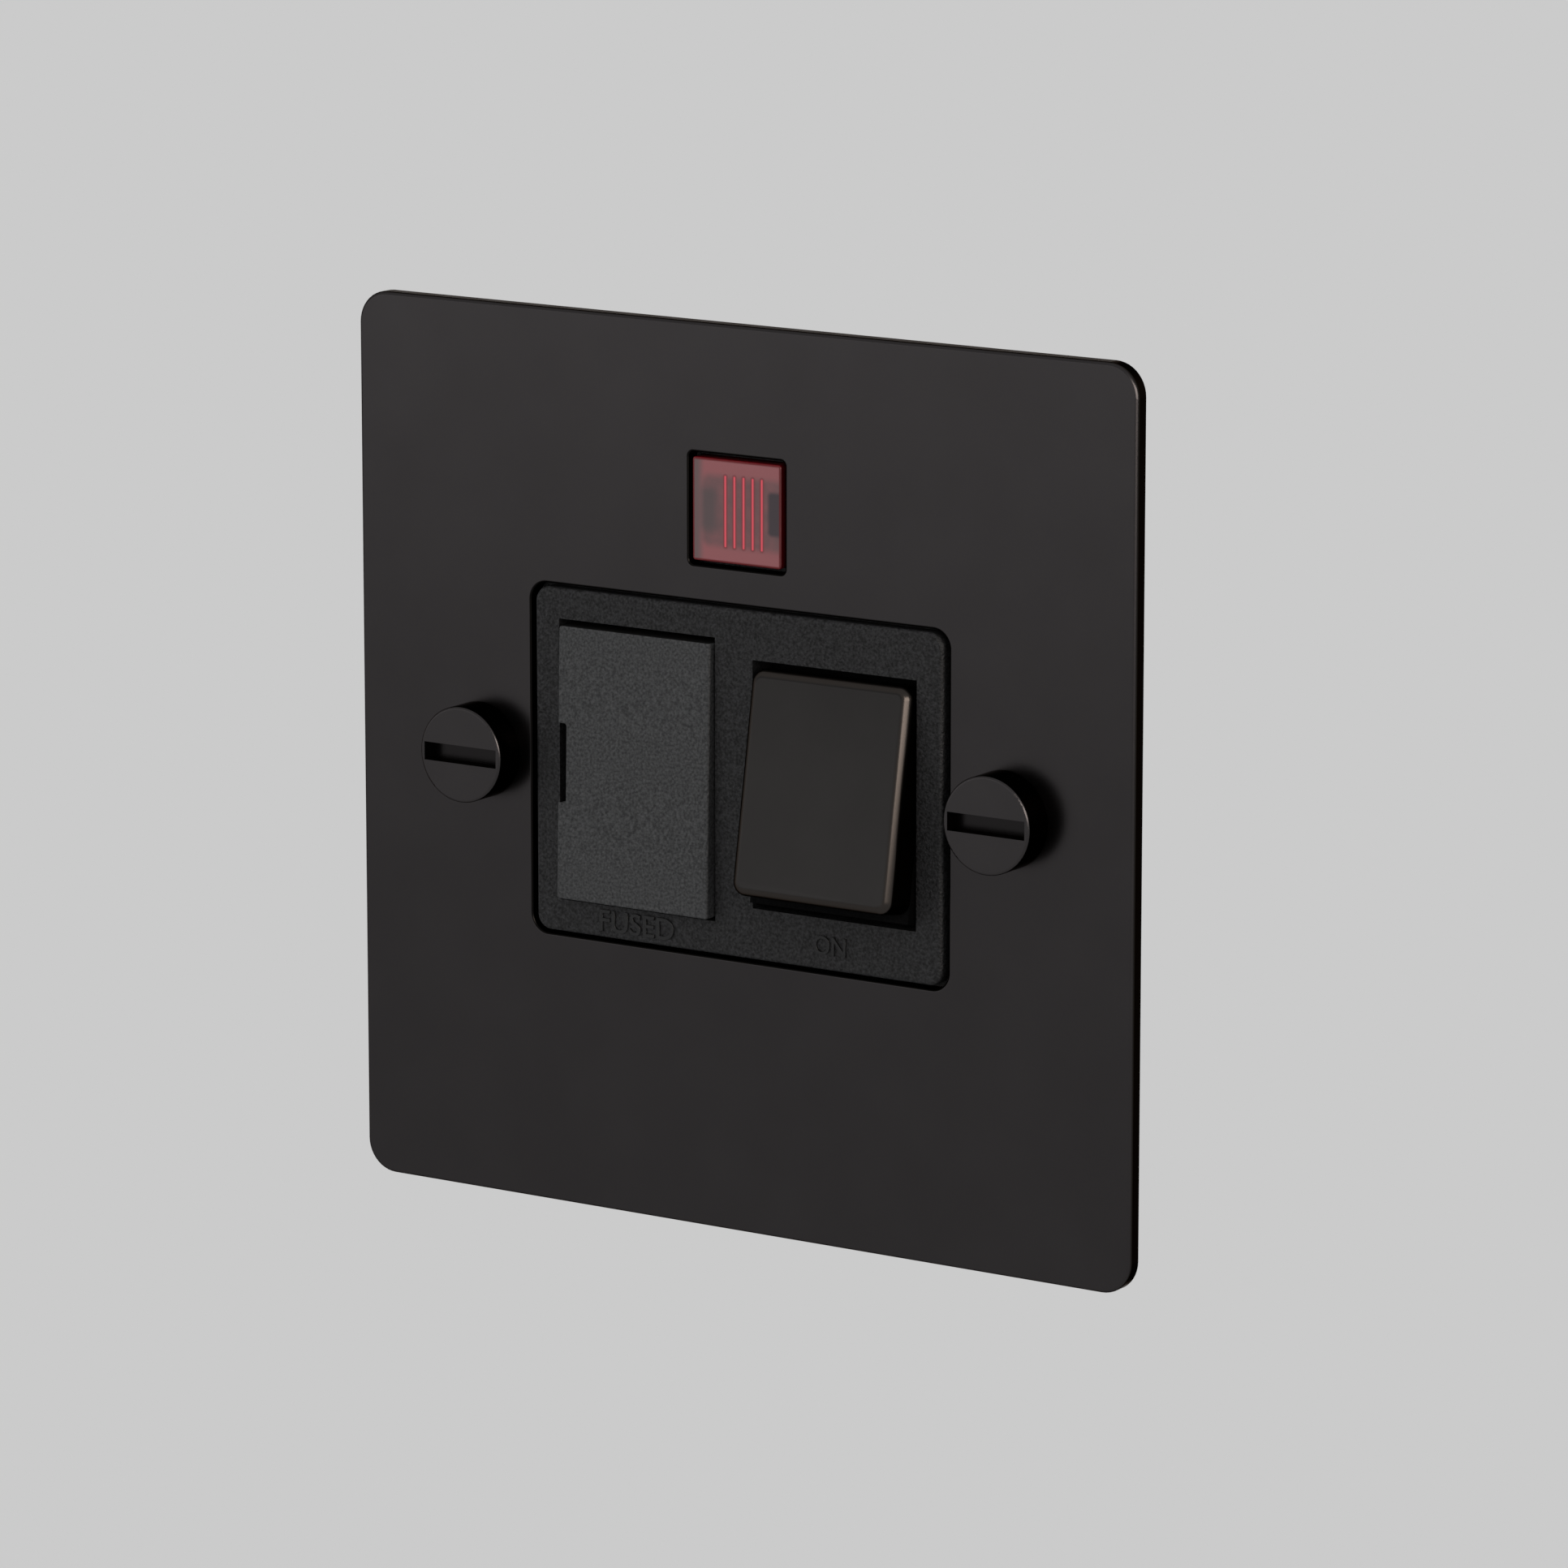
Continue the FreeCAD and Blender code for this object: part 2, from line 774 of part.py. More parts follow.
def make_rear_base():
    body = new_body("rear_base")
    cavity_width = cell.module_width - 2 * cell.base_wall
    cavity_height = 2 * (cell.bay_start - cell.base_wall)
    edge = cell.module_height / 2
    core_start = cell.bay_start
    core_end = edge - cell.base_wall
    notch_half = TOWER_WIDTH / 2 + cell.tower_gap
    notch_bottom = cell.neon_rise - TOWER_HEIGHT / 2 - cell.tower_gap
    past_edge = edge + cell.base_wall
    add(
        body,
        "base_outside",
        "XZ_Plane",
        cell.flange_thick,
        cell.module_depth,
        rounded(sized(0), sized(0), cell.module_width, cell.module_height, cell.module_corner),
    )
    soften(body, "base_back_edge", cell.base_edge, lies_at(cell.module_depth))
    take(
        body,
        "cavity",
        "XZ_Plane",
        cell.flange_thick,
        CAVITY_BACK,
        rectangle(sized(0), sized(0), cavity_width, cavity_height),
    )
    inner_edge = notch_half + cell.bay_side_wall
    outer_edge = cavity_width / 2
    cores = [
        rectangle(
            side * (inner_edge + outer_edge) / 2,
            (core_start + core_end) / 2,
            outer_edge - inner_edge,
            core_end - core_start,
        )
        for side in (-1, 1)
    ]
    cores.append(rectangle(sized(0), -(core_start + core_end) / 2, cavity_width, core_end - core_start))
    take(body, "bay_cores", "XZ_Plane", cell.flange_thick, BAY_FLOOR_FRONT, *cores)
    take(
        body,
        "tower_notch",
        "XZ_Plane",
        cell.flange_thick,
        cell.module_depth,
        rectangle(sized(0), (notch_bottom + past_edge) / 2, 2 * notch_half, past_edge - notch_bottom),
    )
    bays = [
        rectangle(
            x,
            side * (cell.bay_start + past_edge) / 2,
            cell.terminal_width + 2 * cell.bay_fit,
            past_edge - cell.bay_start,
        )
        for x, side in TERMINALS.values()
    ]
    take(body, "terminal_bays", "XZ_Plane", cell.bay_floor_back, cell.module_depth, *bays)
    head_room = cell.pillar_screw_head + 2 * cell.pillar_screw_room
    shank_room = cell.pillar_screw + 2 * cell.pillar_fit
    pillar_places = (
        (-cell.upper_pillar_offset, cell.upper_pillar_rise),
        (cell.lower_pillar_offset, -cell.lower_pillar_drop),
    )
    take(
        body,
        "screw_recesses",
        "XZ_Plane",
        cell.bay_floor_back,
        cell.module_depth,
        *[circle(x, z, head_room) for x, z in pillar_places],
    )
    take(
        body,
        "screw_holes",
        "XZ_Plane",
        BAY_FLOOR_FRONT,
        cell.bay_floor_back,
        *[circle(x, z, shank_room) for x, z in pillar_places],
    )
    # Windows through which the bars reach the terminals
    window_rise = cell.bay_start - cell.base_wall / 2
    window_height = cell.base_wall
    window_width = cell.bar_width + 2 * cell.bar_fit
    take(
        body,
        "fixed_bar_windows",
        "XZ_Plane",
        FIXED_BAR_FRONT - cell.bar_fit,
        FIXED_BAR_FRONT + cell.bar_thick + cell.bar_fit,
        rectangle(cell.line_in_offset, window_rise, window_width, window_height),
        rectangle(cell.neutral_in_offset, window_rise, window_width, window_height),
    )
    take(
        body,
        "deep_bar_windows",
        "XZ_Plane",
        cell.deep_bar_depth - cell.bar_fit,
        DEEP_BAR_BACK + cell.bar_fit,
        rectangle(CARRIER_X, -window_rise, window_width, window_height),
        rectangle(NEUTRAL_POLE, -window_rise, window_width, window_height),
    )
    take(
        body,
        "earth_strap_windows",
        "XZ_Plane",
        cell.earth_strap_depth - cell.bar_fit,
        cell.earth_strap_depth + cell.earth_strap_width + cell.bar_fit,
        *[
            rectangle(EARTH_STRAP_X, side * window_rise, cell.metal_thick + 2 * cell.bar_fit, window_height)
            for side in (-1, 1)
        ],
    )
    take(
        body,
        "earth_leaf_window",
        "XZ_Plane",
        BAY_FLOOR_FRONT,
        cell.bay_floor_back,
        rectangle(
            -cell.earth_offset,
            TERMINAL_RISE - cell.metal_thick / 2,
            cell.earth_leaf_width + 2 * cell.bar_fit,
            cell.metal_thick + 2 * cell.bar_fit,
        ),
    )
    lead_room = cell.lead_diameter + 2 * cell.lead_window_fit
    take(
        body,
        "lead_window",
        "XZ_Plane",
        cell.lead_depth - lead_room / 2,
        cell.lead_depth + lead_room / 2,
        rectangle(
            sized(0),
            (cell.bay_start - cell.base_wall + notch_bottom) / 2,
            cell.lead_spacing + lead_room,
            notch_bottom - cell.bay_start + cell.base_wall,
        ),
    )
    # Pedestals that stand on the back wall and carry the bars, the fulcrums and the contacts' rest
    pedestal = cell.pedestal_width
    stop = cell.stop_width
    add(
        body,
        "fixed_bar_pedestals",
        "XZ_Plane",
        FIXED_BAR_FRONT + cell.bar_thick,
        CAVITY_BACK,
        *[
            rectangle(x, cell.rocker_rise + cell.tip_distance, pedestal, pedestal)
            for x in (LINE_POLE, NEUTRAL_POLE)
        ],
    )
    add(
        body,
        "deep_bar_pedestals",
        "XZ_Plane",
        DEEP_BAR_BACK,
        CAVITY_BACK,
        *[rectangle(x, cell.rocker_rise, pedestal, pedestal) for x in (LINE_POLE, NEUTRAL_POLE)],
        *[rectangle(CARRIER_X, z, pedestal, pedestal) for z in (CLIP_RISE, -CLIP_RISE)],
    )
    add(
        body,
        "line_contact_stop",
        "XZ_Plane",
        CONTACT_Y + cell.contact_back + cell.tip_gap,
        CAVITY_BACK,
        rectangle(LINE_POLE, cell.rocker_rise - cell.tip_distance, pedestal, stop),
    )
    neutral_stop_x = NEUTRAL_POLE + cell.bar_width / 2 + cell.bar_fit + stop / 2
    add(
        body,
        "neutral_contact_stop",
        "XZ_Plane",
        CONTACT_Y + cell.contact_back + cell.tip_gap,
        CAVITY_BACK,
        rectangle(neutral_stop_x, cell.rocker_rise - cell.tip_distance, stop, pedestal),
    )
    # Two shallow panels in the back, behind the fuse and behind the switch, with a rib between them
    panel_width = (cavity_width - cell.panel_rib) / 2 - cell.panel_margin
    panel_height = cavity_height - 2 * cell.panel_margin
    panel_x = (cell.panel_rib + panel_width) / 2
    take(
        body,
        "back_panels",
        "XZ_Plane",
        cell.module_depth - cell.panel_depth,
        cell.module_depth,
        *[rounded(x, sized(0), panel_width, panel_height, cell.panel_corner) for x in (-panel_x, panel_x)],
    )
    # The mouths of the bays flare so that a driver finds the terminal screws
    soften(body, "bay_funnels", cell.bay_funnel, bay_mouth, "Chamfer")


def bay_mouth(edge):
    """Whether an edge lies at the back of a bay, along its wall to the cavity."""
    box = edge.BoundBox
    at_back = lies_at(cell.module_depth)(edge)
    return at_back and any(lies_at(side * cell.bay_start, "z")(edge) for side in (-1, 1))


# Fixing screws: round heads with a milled slot that stays inside the rim, a neck where the screw passes
# the plate, and a plain shank


def make_fixing_screw(label, x):
    body = new_body(label)
    head_front = PLATE_FRONT - cell.screw_head_height
    add(
        body,
        label + "_head",
        "XZ_Plane",
        head_front,
        PLATE_FRONT,
        circle(0, 0, cell.screw_head_diameter),
    )
    soften(body, label + "_head_edge", cell.screw_head_edge, lies_at(head_front))
    take(
        body,
        label + "_slot",
        "XZ_Plane",
        head_front,
        head_front + cell.screw_slot_depth,
        rectangle(sized(0), sized(0), cell.screw_slot_length, cell.screw_slot_width),
    )
    add(body, label + "_neck", "XZ_Plane", PLATE_FRONT, 0, circle(0, 0, cell.screw_neck_diameter))
    add(
        body,
        label + "_shank",
        "XZ_Plane",
        0,
        PLATE_FRONT + cell.screw_length,
        circle(0, 0, cell.screw_diameter),
    )
    screw_end = lies_at(PLATE_FRONT + cell.screw_length)
    soften(body, label + "_point", cell.screw_point, screw_end, "Chamfer")
    move_to(body, x, 0, 0)


# Neon indicator: a cup-shaped lens with ribs on the inside of its front, a lamp and its leads


def make_neon_lens():
    body = new_body("neon_lens")
    inner_front = PLATE_FRONT + cell.lens_front_wall
    add(
        body,
        "lens_outside",
        "XZ_Plane",
        PLATE_FRONT,
        cell.lens_back,
        rounded(sized(0), sized(0), cell.lens_width, cell.lens_height, cell.lens_corner),
    )
    soften(body, "lens_front_edge", cell.lens_edge, lies_at(PLATE_FRONT))
    take(
        body,
        "lens_inside",
        "XZ_Plane",
        inner_front,
        cell.lens_back,
        rectangle(
            sized(0),
            sized(0),
            cell.lens_width - 2 * cell.lens_side_wall,
            cell.lens_height - 2 * cell.lens_side_wall,
        ),
    )
    first_rib = add(
        body,
        "lens_rib",
        "XZ_Plane",
        inner_front,
        inner_front + cell.lens_rib_depth,
        rectangle(-2 * cell.lens_rib_pitch, sized(0), cell.lens_rib_width, cell.lens_rib_height),
    )
    pattern = body.newObject("PartDesign::LinearPattern", "lens_ribs")
    pattern.Originals = [first_rib]
    pattern.Direction = (first_rib.Profile[0], ["H_Axis"])
    pattern.Occurrences = 5
    bind(pattern, "Length", 4 * cell.lens_rib_pitch)
    body.Tip = pattern
    move_to(body, 0, 0, cell.neon_rise)


def make_neon_lamp():
    body = new_body("neon_lamp")
    lamp_back = cell.lamp_front + cell.lamp_length
    add(body, "lamp_glass", "XZ_Plane", cell.lamp_front, lamp_back, circle(0, 0, cell.lamp_diameter))
    soften(body, "lamp_nose", cell.lamp_nose, lies_at(cell.lamp_front))
    move_to(body, 0, 0, cell.neon_rise)


def lead(label, *points):
    """An insulated wire: straight runs joined by arcs of the sheet's bend radius."""
    corners = [Vector(*[sized(c).value for c in point]) for point in points]
    bend = cell.lead_bend.value
    edges = []
    start = corners[0]
    for before, corner, after in zip(corners, corners[1:], corners[2:]):
        way_in = (corner - before).normalize()
        way_out = (after - corner).normalize()
        half_turn = way_in.getAngle(way_out) / 2
        setback = bend * math.tan(half_turn)
        arc_start = corner - way_in * setback
        arc_end = corner + way_out * setback
        towards_centre = (way_out - way_in).normalize()
        arc_middle = corner + towards_centre * (bend / math.cos(half_turn) - bend)
        edges.append(Part.LineSegment(start, arc_start).toShape())
        edges.append(Part.Arc(arc_start, arc_middle, arc_end).toShape())
        start = arc_end
    edges.append(Part.LineSegment(start, corners[-1]).toShape())
    path = Part.Wire(edges)
    first_way = corners[1] - corners[0]
    section = Part.Wire(Part.Circle(corners[0], first_way, cell.lead_diameter.value / 2).toShape())
    wire = doc.addObject("Part::Feature", label)
    wire.Shape = path.makePipeShell([section], True, True)
    return keep(wire, label)


def make_neon_circuit():
    half = cell.lead_spacing / 2
    lamp_back = cell.lamp_front + cell.lamp_length
    resistor_bottom = cell.resistor_top - cell.resistor_length
    run = cell.lead_depth
    lead(
        "neon_lead_line",
        (-half, lamp_back, cell.neon_rise),
        (-half, run, cell.neon_rise),
        (-half, run, CLIP_RISE),
        (-half, cell.deep_bar_depth, CLIP_RISE),
    )
    lead(
        "neon_lead_neutral",
        (half, lamp_back, cell.neon_rise),
        (half, run, cell.neon_rise),
        (half, run, cell.resistor_top),
    )
    keep(
        rod("resistor_body", "z", cell.resistor_diameter, resistor_bottom, cell.resistor_top, x=half, y=run),
        "neon_resistor",
    )
    low = -cell.resistor_lead_drop
    lead(
        "resistor_lead",
        (half, run, resistor_bottom),
        (half, run, low),
        (NEUTRAL_POLE, run, low),
        (NEUTRAL_POLE, cell.deep_bar_depth, low),
    )


# Fuse carrier: a drawer with a screwdriver notch, a snap-in cradle for the fuse and two sprung legs


def make_fuse_carrier():
    body = new_body("fuse_carrier")
    add(
        body,
        "carrier_face",
        "XZ_Plane",
        CARRIER_FRONT,
        CARRIER_BACK,
        rounded(sized(0), cell.carrier_rise, cell.carrier_width, cell.carrier_height, cell.carrier_corner),
    )
    soften(body, "carrier_front_edge", cell.carrier_edge, lies_at(CARRIER_FRONT))
    take(
        body,
        "carrier_notch",
        "XZ_Plane",
        CARRIER_FRONT,
        CARRIER_BACK,
        rounded(
            -cell.carrier_width / 2,
            cell.carrier_rise,
            2 * cell.notch_width,
            cell.notch_height,
            cell.carrier_corner,
        ),
    )
    add(
        body,
        "cradle",
        "XZ_Plane",
        CARRIER_BACK,
        cell.fuse_depth + cell.cradle_lip,
        rectangle(sized(0), sized(0), cell.cradle_width, cell.cradle_height),
    )
    take(
        body,
        "cradle_groove",
        "XY_Plane",
        -cell.cradle_height / 2,
        cell.cradle_height / 2,
        circle(0, cell.fuse_depth, cell.fuse_barrel_diameter + 2 * cell.fuse_fit),
    )
    leg_outer = cell.carrier_width / 2 - cell.leg_inset
    leg_end = cell.tunnel_back - cell.catch_fit
    add(
        body,
        "legs",
        "XZ_Plane",
        CARRIER_BACK,
        leg_end,
        *[
            rectangle(side * (leg_outer - cell.leg_thick / 2), TUNNEL_Z, cell.leg_thick, cell.leg_height)
            for side in (-1, 1)
        ],
    )
    add(
        body,
        "catches",
        "XZ_Plane",
        catch_front(),
        leg_end,
        *[
            rectangle(
                side * (leg_outer + (cell.catch_reach - cell.leg_thick) / 2),
                TUNNEL_Z,
                cell.leg_thick + cell.catch_reach,
                cell.catch_height,
            )
            for side in (-1, 1)
        ],
    )
    move_to(body, CARRIER_X, 0, 0)


def make_fuse():
    half = cell.fuse_length / 2
    inner = half - cell.fuse_cap_wall
    keep(
        rod("barrel_rod", "z", cell.fuse_barrel_diameter, -inner, inner, x=CARRIER_X, y=cell.fuse_depth),
        "fuse_barrel",
    )
    for label, side in (("fuse_cap_upper", 1), ("fuse_cap_lower", -1)):
        body = new_body(label)
        mouth = half - cell.fuse_cap_length
        low, high = (mouth, half) if side > 0 else (-half, -mouth)
        add(body, label + "_cup", "XY_Plane", low, high, circle(0, 0, cell.fuse_cap_diameter))
        soften(body, label + "_edge", cell.fuse_cap_wall / 2, lies_at(side * half, "z"))
        low, high = (mouth, inner) if side > 0 else (-inner, -mouth)
        take(body, label + "_inside", "XY_Plane", low, high, circle(0, 0, cell.fuse_barrel_diameter))
        move_to(body, CARRIER_X, cell.fuse_depth, 0)


def make_fuse_clip(label, side):
    """A sprung fork that grips one cap, on a tail that stands on a bar."""
    body = new_body(label)
    middle = side * CLIP_RISE
    inside = cell.fuse_cap_diameter / 2 + cell.clip_gap
    outside = inside + cell.metal_thick
    tip = cell.fuse_depth - cell.clip_reach
    flare = cell.metal_thick / 2
    floor = CLIP_BACK + cell.metal_thick
    right = [(outside, floor), (outside, tip + flare), (outside + flare, tip)]
    right += [(inside + flare, tip), (inside, tip + flare), (inside, CLIP_BACK)]
    left = [(-x, y) for x, y in reversed(right)]
    add(
        body,
        label + "_fork",
        "XY_Plane",
        middle - cell.clip_width / 2,
        middle + cell.clip_width / 2,
        polygon(*right, *left),
    )
    add(
        body,
        label + "_tail",
        "XZ_Plane",
        floor,
        cell.deep_bar_depth,
        rectangle(sized(0), middle, cell.bar_width, cell.bar_thick),
    )
    if side < 0:
        foot_top = middle + cell.bar_thick / 2
        foot_end = -TERMINAL_START
        add(
            body,
            label + "_foot",
            "XZ_Plane",
            cell.deep_bar_depth,
            DEEP_BAR_BACK,
            rectangle(sized(0), (foot_top + foot_end) / 2, cell.bar_width, foot_top - foot_end),
        )
    move_to(body, CARRIER_X, 0, 0)


# Rocker: a metal cap on a moulded carrier that turns on a steel pin, with a sprung plunger for each pole.
# Its pieces are drawn about the pin with the face square to Y, then tilted to the off position.


def tilt_with_rocker(piece):
    turn_about_x(piece, cell.rocker_tilt, -1, cell.rocker_offset, cell.pivot_depth, cell.rocker_rise)


def make_rocker_cap():
    body = new_body("rocker_cap")
    face = -cell.rocker_face
    back = face + cell.cap_depth
    add(
        body,
        "cap_outside",
        "XZ_Plane",
        face,
        back,
        rounded(sized(0), sized(0), cell.rocker_width, cell.rocker_length, cell.cap_corner),
    )
    soften(body, "cap_front_edge", cell.cap_edge, lies_at(face))
    take(
        body,
        "cap_inside",
        "XZ_Plane",
        face + cell.cap_wall,
        back,
        rounded(
            sized(0),
            sized(0),
            cell.rocker_width - 2 * cell.cap_wall,
            cell.rocker_length - 2 * cell.cap_wall,
            cell.cap_corner / 2,
        ),
    )
    tilt_with_rocker(body)


def make_rocker_carrier():
    core_x = cell.rocker_width / 2 - cell.cap_wall - cell.cap_fit
    core_z = cell.rocker_length / 2 - cell.cap_wall - cell.cap_fit
    core_corner = cell.cap_corner / 2
    core_front = -cell.rocker_face + cell.cap_wall + cell.cap_fit
    web_front = -cell.rocker_face + cell.cap_depth + cell.cap_fit
    web_back = web_front + cell.skirt_wall
    skirt_x = cell.rocker_width / 2 - cell.cap_fit
    core = doc.addObject("PartDesign::Body", "carrier_core")
    core_outline = rounded(sized(0), sized(0), 2 * core_x, 2 * core_z, core_corner)
    add(core, "carrier_core_pad", "XZ_Plane", core_front, web_back, core_outline)
    depth = (web_front, cell.skirt_depth)
    drum = shared(
        "carrier_drum",
        rod("carrier_drum_rod", "x", 2 * SKIRT_RADIUS, -skirt_x, skirt_x),
        block("carrier_drum_limits", (-skirt_x, skirt_x), depth, (-SKIRT_RADIUS, SKIRT_RADIUS)),
    )
    hollow_x = skirt_x - cell.skirt_wall
    hollow_z = SKIRT_RADIUS - 2 * cell.skirt_wall
    depth = (web_back, cell.skirt_depth)
    hollow = block("carrier_hollow", (-hollow_x, hollow_x), depth, (-hollow_z, hollow_z))
    skirts = cut_from("carrier_skirts", drum, hollow)
    barrels = []
    bores = []
    for name, x in (("line", -cell.pole_offset), ("neutral", cell.pole_offset)):
        barrels.append(
            rod(f"{name}_barrel", "y", cell.barrel_diameter, web_front, cell.barrel_length, x=x)
        )
        bore = cell.plunger_diameter + 2 * cell.plunger_fit
        bores.append(rod(f"{name}_barrel_bore", "y", bore, cell.spring_start, cell.barrel_length, x=x))
    pin_hole = rod("carrier_pin_hole", "x", cell.pivot_diameter + 2 * cell.pivot_fit, -skirt_x, skirt_x)
    pin_boss = rod("carrier_pin_boss", "x", 2 * cell.pivot_diameter, -core_x, core_x)
    solid = united("carrier_solid", core, skirts, pin_boss, *barrels)
    carrier = keep(cut_from("carrier_cut", solid, pin_hole, *bores), "rocker_carrier")
    tilt_with_rocker(carrier)


def make_pivot_pin():
    half = WELL_WIDTH / 2 + cell.pivot_seat - cell.pivot_fit
    low = cell.rocker_offset - half
    high = cell.rocker_offset + half
    pin = rod("pin_rod", "x", cell.pivot_diameter, low, high, y=cell.pivot_depth, z=cell.rocker_rise)
    keep(pin, "rocker_pivot_pin")


def make_plunger(pole, x):
    """A sprung pin in its barrel, with a round nose that slides along the see-saw contact."""
    label = f"plunger_{pole}"
    body = new_body(label)
    start = cell.spring_start + cell.spring_length
    radius = cell.plunger_diameter / 2
    add(
        body,
        label + "_pin",
        "XZ_Plane",
        start,
        cell.plunger_reach,
        circle(x, 0, cell.plunger_diameter),
    )
    soften(body, label + "_nose", radius - cell.plunger_fit, lies_at(cell.plunger_reach))
    tilt_with_rocker(body)

    helix = doc.addObject("Part::Helix", f"spring_helix_{pole}")
    coil_radius = (cell.spring_diameter - cell.spring_wire) / 2
    coil_height = cell.spring_length - cell.spring_wire
    bind(helix, "Radius", coil_radius)
    bind(helix, "Height", coil_height)
    bind(helix, "Pitch", coil_height / cell.spring_turns)
    section = doc.addObject("Part::Circle", f"spring_section_{pole}")
    section.Placement = Placement(Vector(), Rotation(Vector(1, 0, 0), 90))
    bind(section, "Radius", cell.spring_wire / 2)
    bind(section, "Placement.Base.x", coil_radius)
    coil = doc.addObject("Part::Sweep", f"spring_coil_{pole}")
    coil.Sections = [section]
    coil.Spine = (helix, ["Edge1"])
    coil.Solid = True
    coil.Frenet = True
    coil.Placement = Placement(Vector(), TURNS["y"])
    bind(coil, "Placement.Base.x", x)
    bind(coil, "Placement.Base.y", cell.spring_start + cell.spring_wire / 2)
    spring = carried(f"spring_in_place_{pole}", coil)
    keep(spring, f"spring_{pole}")
    tilt_with_rocker(spring)


# See-saw contacts: a strip bent to a shallow vee that rocks on a bead in the fulcrum's cradle


def make_moving_contact(pole, x):
    half_width = cell.contact_width / 2
    arms = []
    for side, way in ((1, 1), (-1, -1)):
        limits = (0, cell.contact_arm) if side > 0 else (-cell.contact_arm, 0)
        arm = block(
            f"{pole}_arm_{'upper' if side > 0 else 'lower'}",
            (-half_width, half_width),
            (-cell.contact_front, cell.contact_back),
            limits,
        )
        slope = carried(arm.Name + "_sloped", arm)
        turn_about_x(slope, cell.contact_tilt, way, 0, 0, 0)
        arms.append(slope)
    bead = shared(
        f"{pole}_bead",
        rod(f"{pole}_bead_rod", "x", 2 * cell.contact_bead, -half_width, half_width),
        block(
            f"{pole}_bead_half",
            (-half_width, half_width),
            (0, cell.contact_bead),
            (-cell.contact_bead, cell.contact_bead),
        ),
    )
    strip = keep(united(f"{pole}_strip", *arms, bead), f"moving_contact_{pole}")
    turn_about_x(strip, cell.contact_tilt, 1, x, CONTACT_Y, cell.rocker_rise)
    tip = rod(
        f"{pole}_tip_rod",
        "y",
        cell.tip_diameter,
        cell.contact_back,
        cell.contact_back + cell.tip_height,
        z=cell.tip_distance,
    )
    placed_tip = keep(carried(f"{pole}_tip", tip), f"moving_tip_{pole}")
    turn_about_x(placed_tip, 2 * cell.contact_tilt, 1, x, CONTACT_Y, cell.rocker_rise)


def make_fixed_contact(pole, x, terminal_x, jog_rise):
    """A bar from the terminal down to the pole, with a silver tip where the moving contact lands."""
    body = new_body(f"fixed_contact_{pole}")
    half = cell.bar_width / 2
    tip_z = cell.rocker_rise + cell.tip_distance
    bottom = tip_z - half
    jog_top = jog_rise + cell.bar_jog
    add(
        body,
        f"fixed_bar_{pole}",
        "XZ_Plane",
        FIXED_BAR_FRONT,
        FIXED_BAR_FRONT + cell.bar_thick,
        polygon(
            (x - half, bottom),
            (x + half, bottom),
            (x + half, jog_rise),
            (terminal_x + half, jog_rise),
            (terminal_x + half, TERMINAL_START),
            (terminal_x - half, TERMINAL_START),
            (terminal_x - half, jog_top),
            (x - half, jog_top),
        ),
    )
    keep(
        rod(
            f"fixed_tip_rod_{pole}",
            "y",
            cell.tip_diameter,
            FIXED_TIP_FRONT,
            FIXED_BAR_FRONT,
            x=x,
            z=tip_z,
        ),
        f"fixed_tip_{pole}",
    )


def make_fulcrum(pole, x, corners):
    """A bar at the deep level with a post whose cradle carries the see-saw's bead."""
    body = new_body(f"fulcrum_{pole}")
    rim = CONTACT_Y + cell.contact_bead / 2
    post_height = 2 * (cell.contact_bead + cell.bar_thick / 2)
    add(
        body,
        f"fulcrum_bar_{pole}",
        "XZ_Plane",
        cell.deep_bar_depth,
        DEEP_BAR_BACK,
        polygon(*corners),
    )
    add(
        body,
        f"fulcrum_post_{pole}",
        "XZ_Plane",
        rim,
        cell.deep_bar_depth,
        rectangle(x, cell.rocker_rise, cell.contact_width, post_height),
    )
    take(
        body,
        f"fulcrum_cradle_{pole}",
        "YZ_Plane",
        x - cell.contact_width / 2,
        x + cell.contact_width / 2,
        circle(CONTACT_Y, cell.rocker_rise, 2 * (cell.contact_bead + cell.contact_fit)),
    )


def make_bars():
    half = cell.bar_width / 2
    make_fixed_contact("line", LINE_POLE, cell.line_in_offset, cell.line_jog_rise)
    make_fixed_contact("neutral", NEUTRAL_POLE, cell.neutral_in_offset, cell.neutral_jog_rise)
    run_left = CARRIER_X - half
    run_low = CLIP_RISE - cell.bar_jog / 2
    run_high = CLIP_RISE + cell.bar_jog / 2
    drop_left = -cell.bar_jog / 2
    drop_right = cell.bar_jog / 2
    post_low = cell.rocker_rise - cell.bar_jog / 2
    post_high = cell.rocker_rise + cell.bar_jog / 2
    line_right = LINE_POLE + cell.contact_width / 2
    make_fulcrum(
        "line",
        LINE_POLE,
        [
            (run_left, run_low),
            (drop_left, run_low),
            (drop_left, post_low),
            (line_right, post_low),
            (line_right, post_high),
            (drop_right, post_high),
            (drop_right, run_high),
            (run_left, run_high),
        ],
    )
    neutral_left = NEUTRAL_POLE - cell.bar_width / 2
    neutral_right = NEUTRAL_POLE + cell.bar_width / 2
    make_fulcrum(
        "neutral",
        NEUTRAL_POLE,
        [
            (neutral_left, -TERMINAL_START),
            (neutral_right, -TERMINAL_START),
            (neutral_right, post_high),
            (neutral_left, post_high),
        ],
    )


# Terminals: brass blocks bored for the conductors, each with a clamping screw from the back


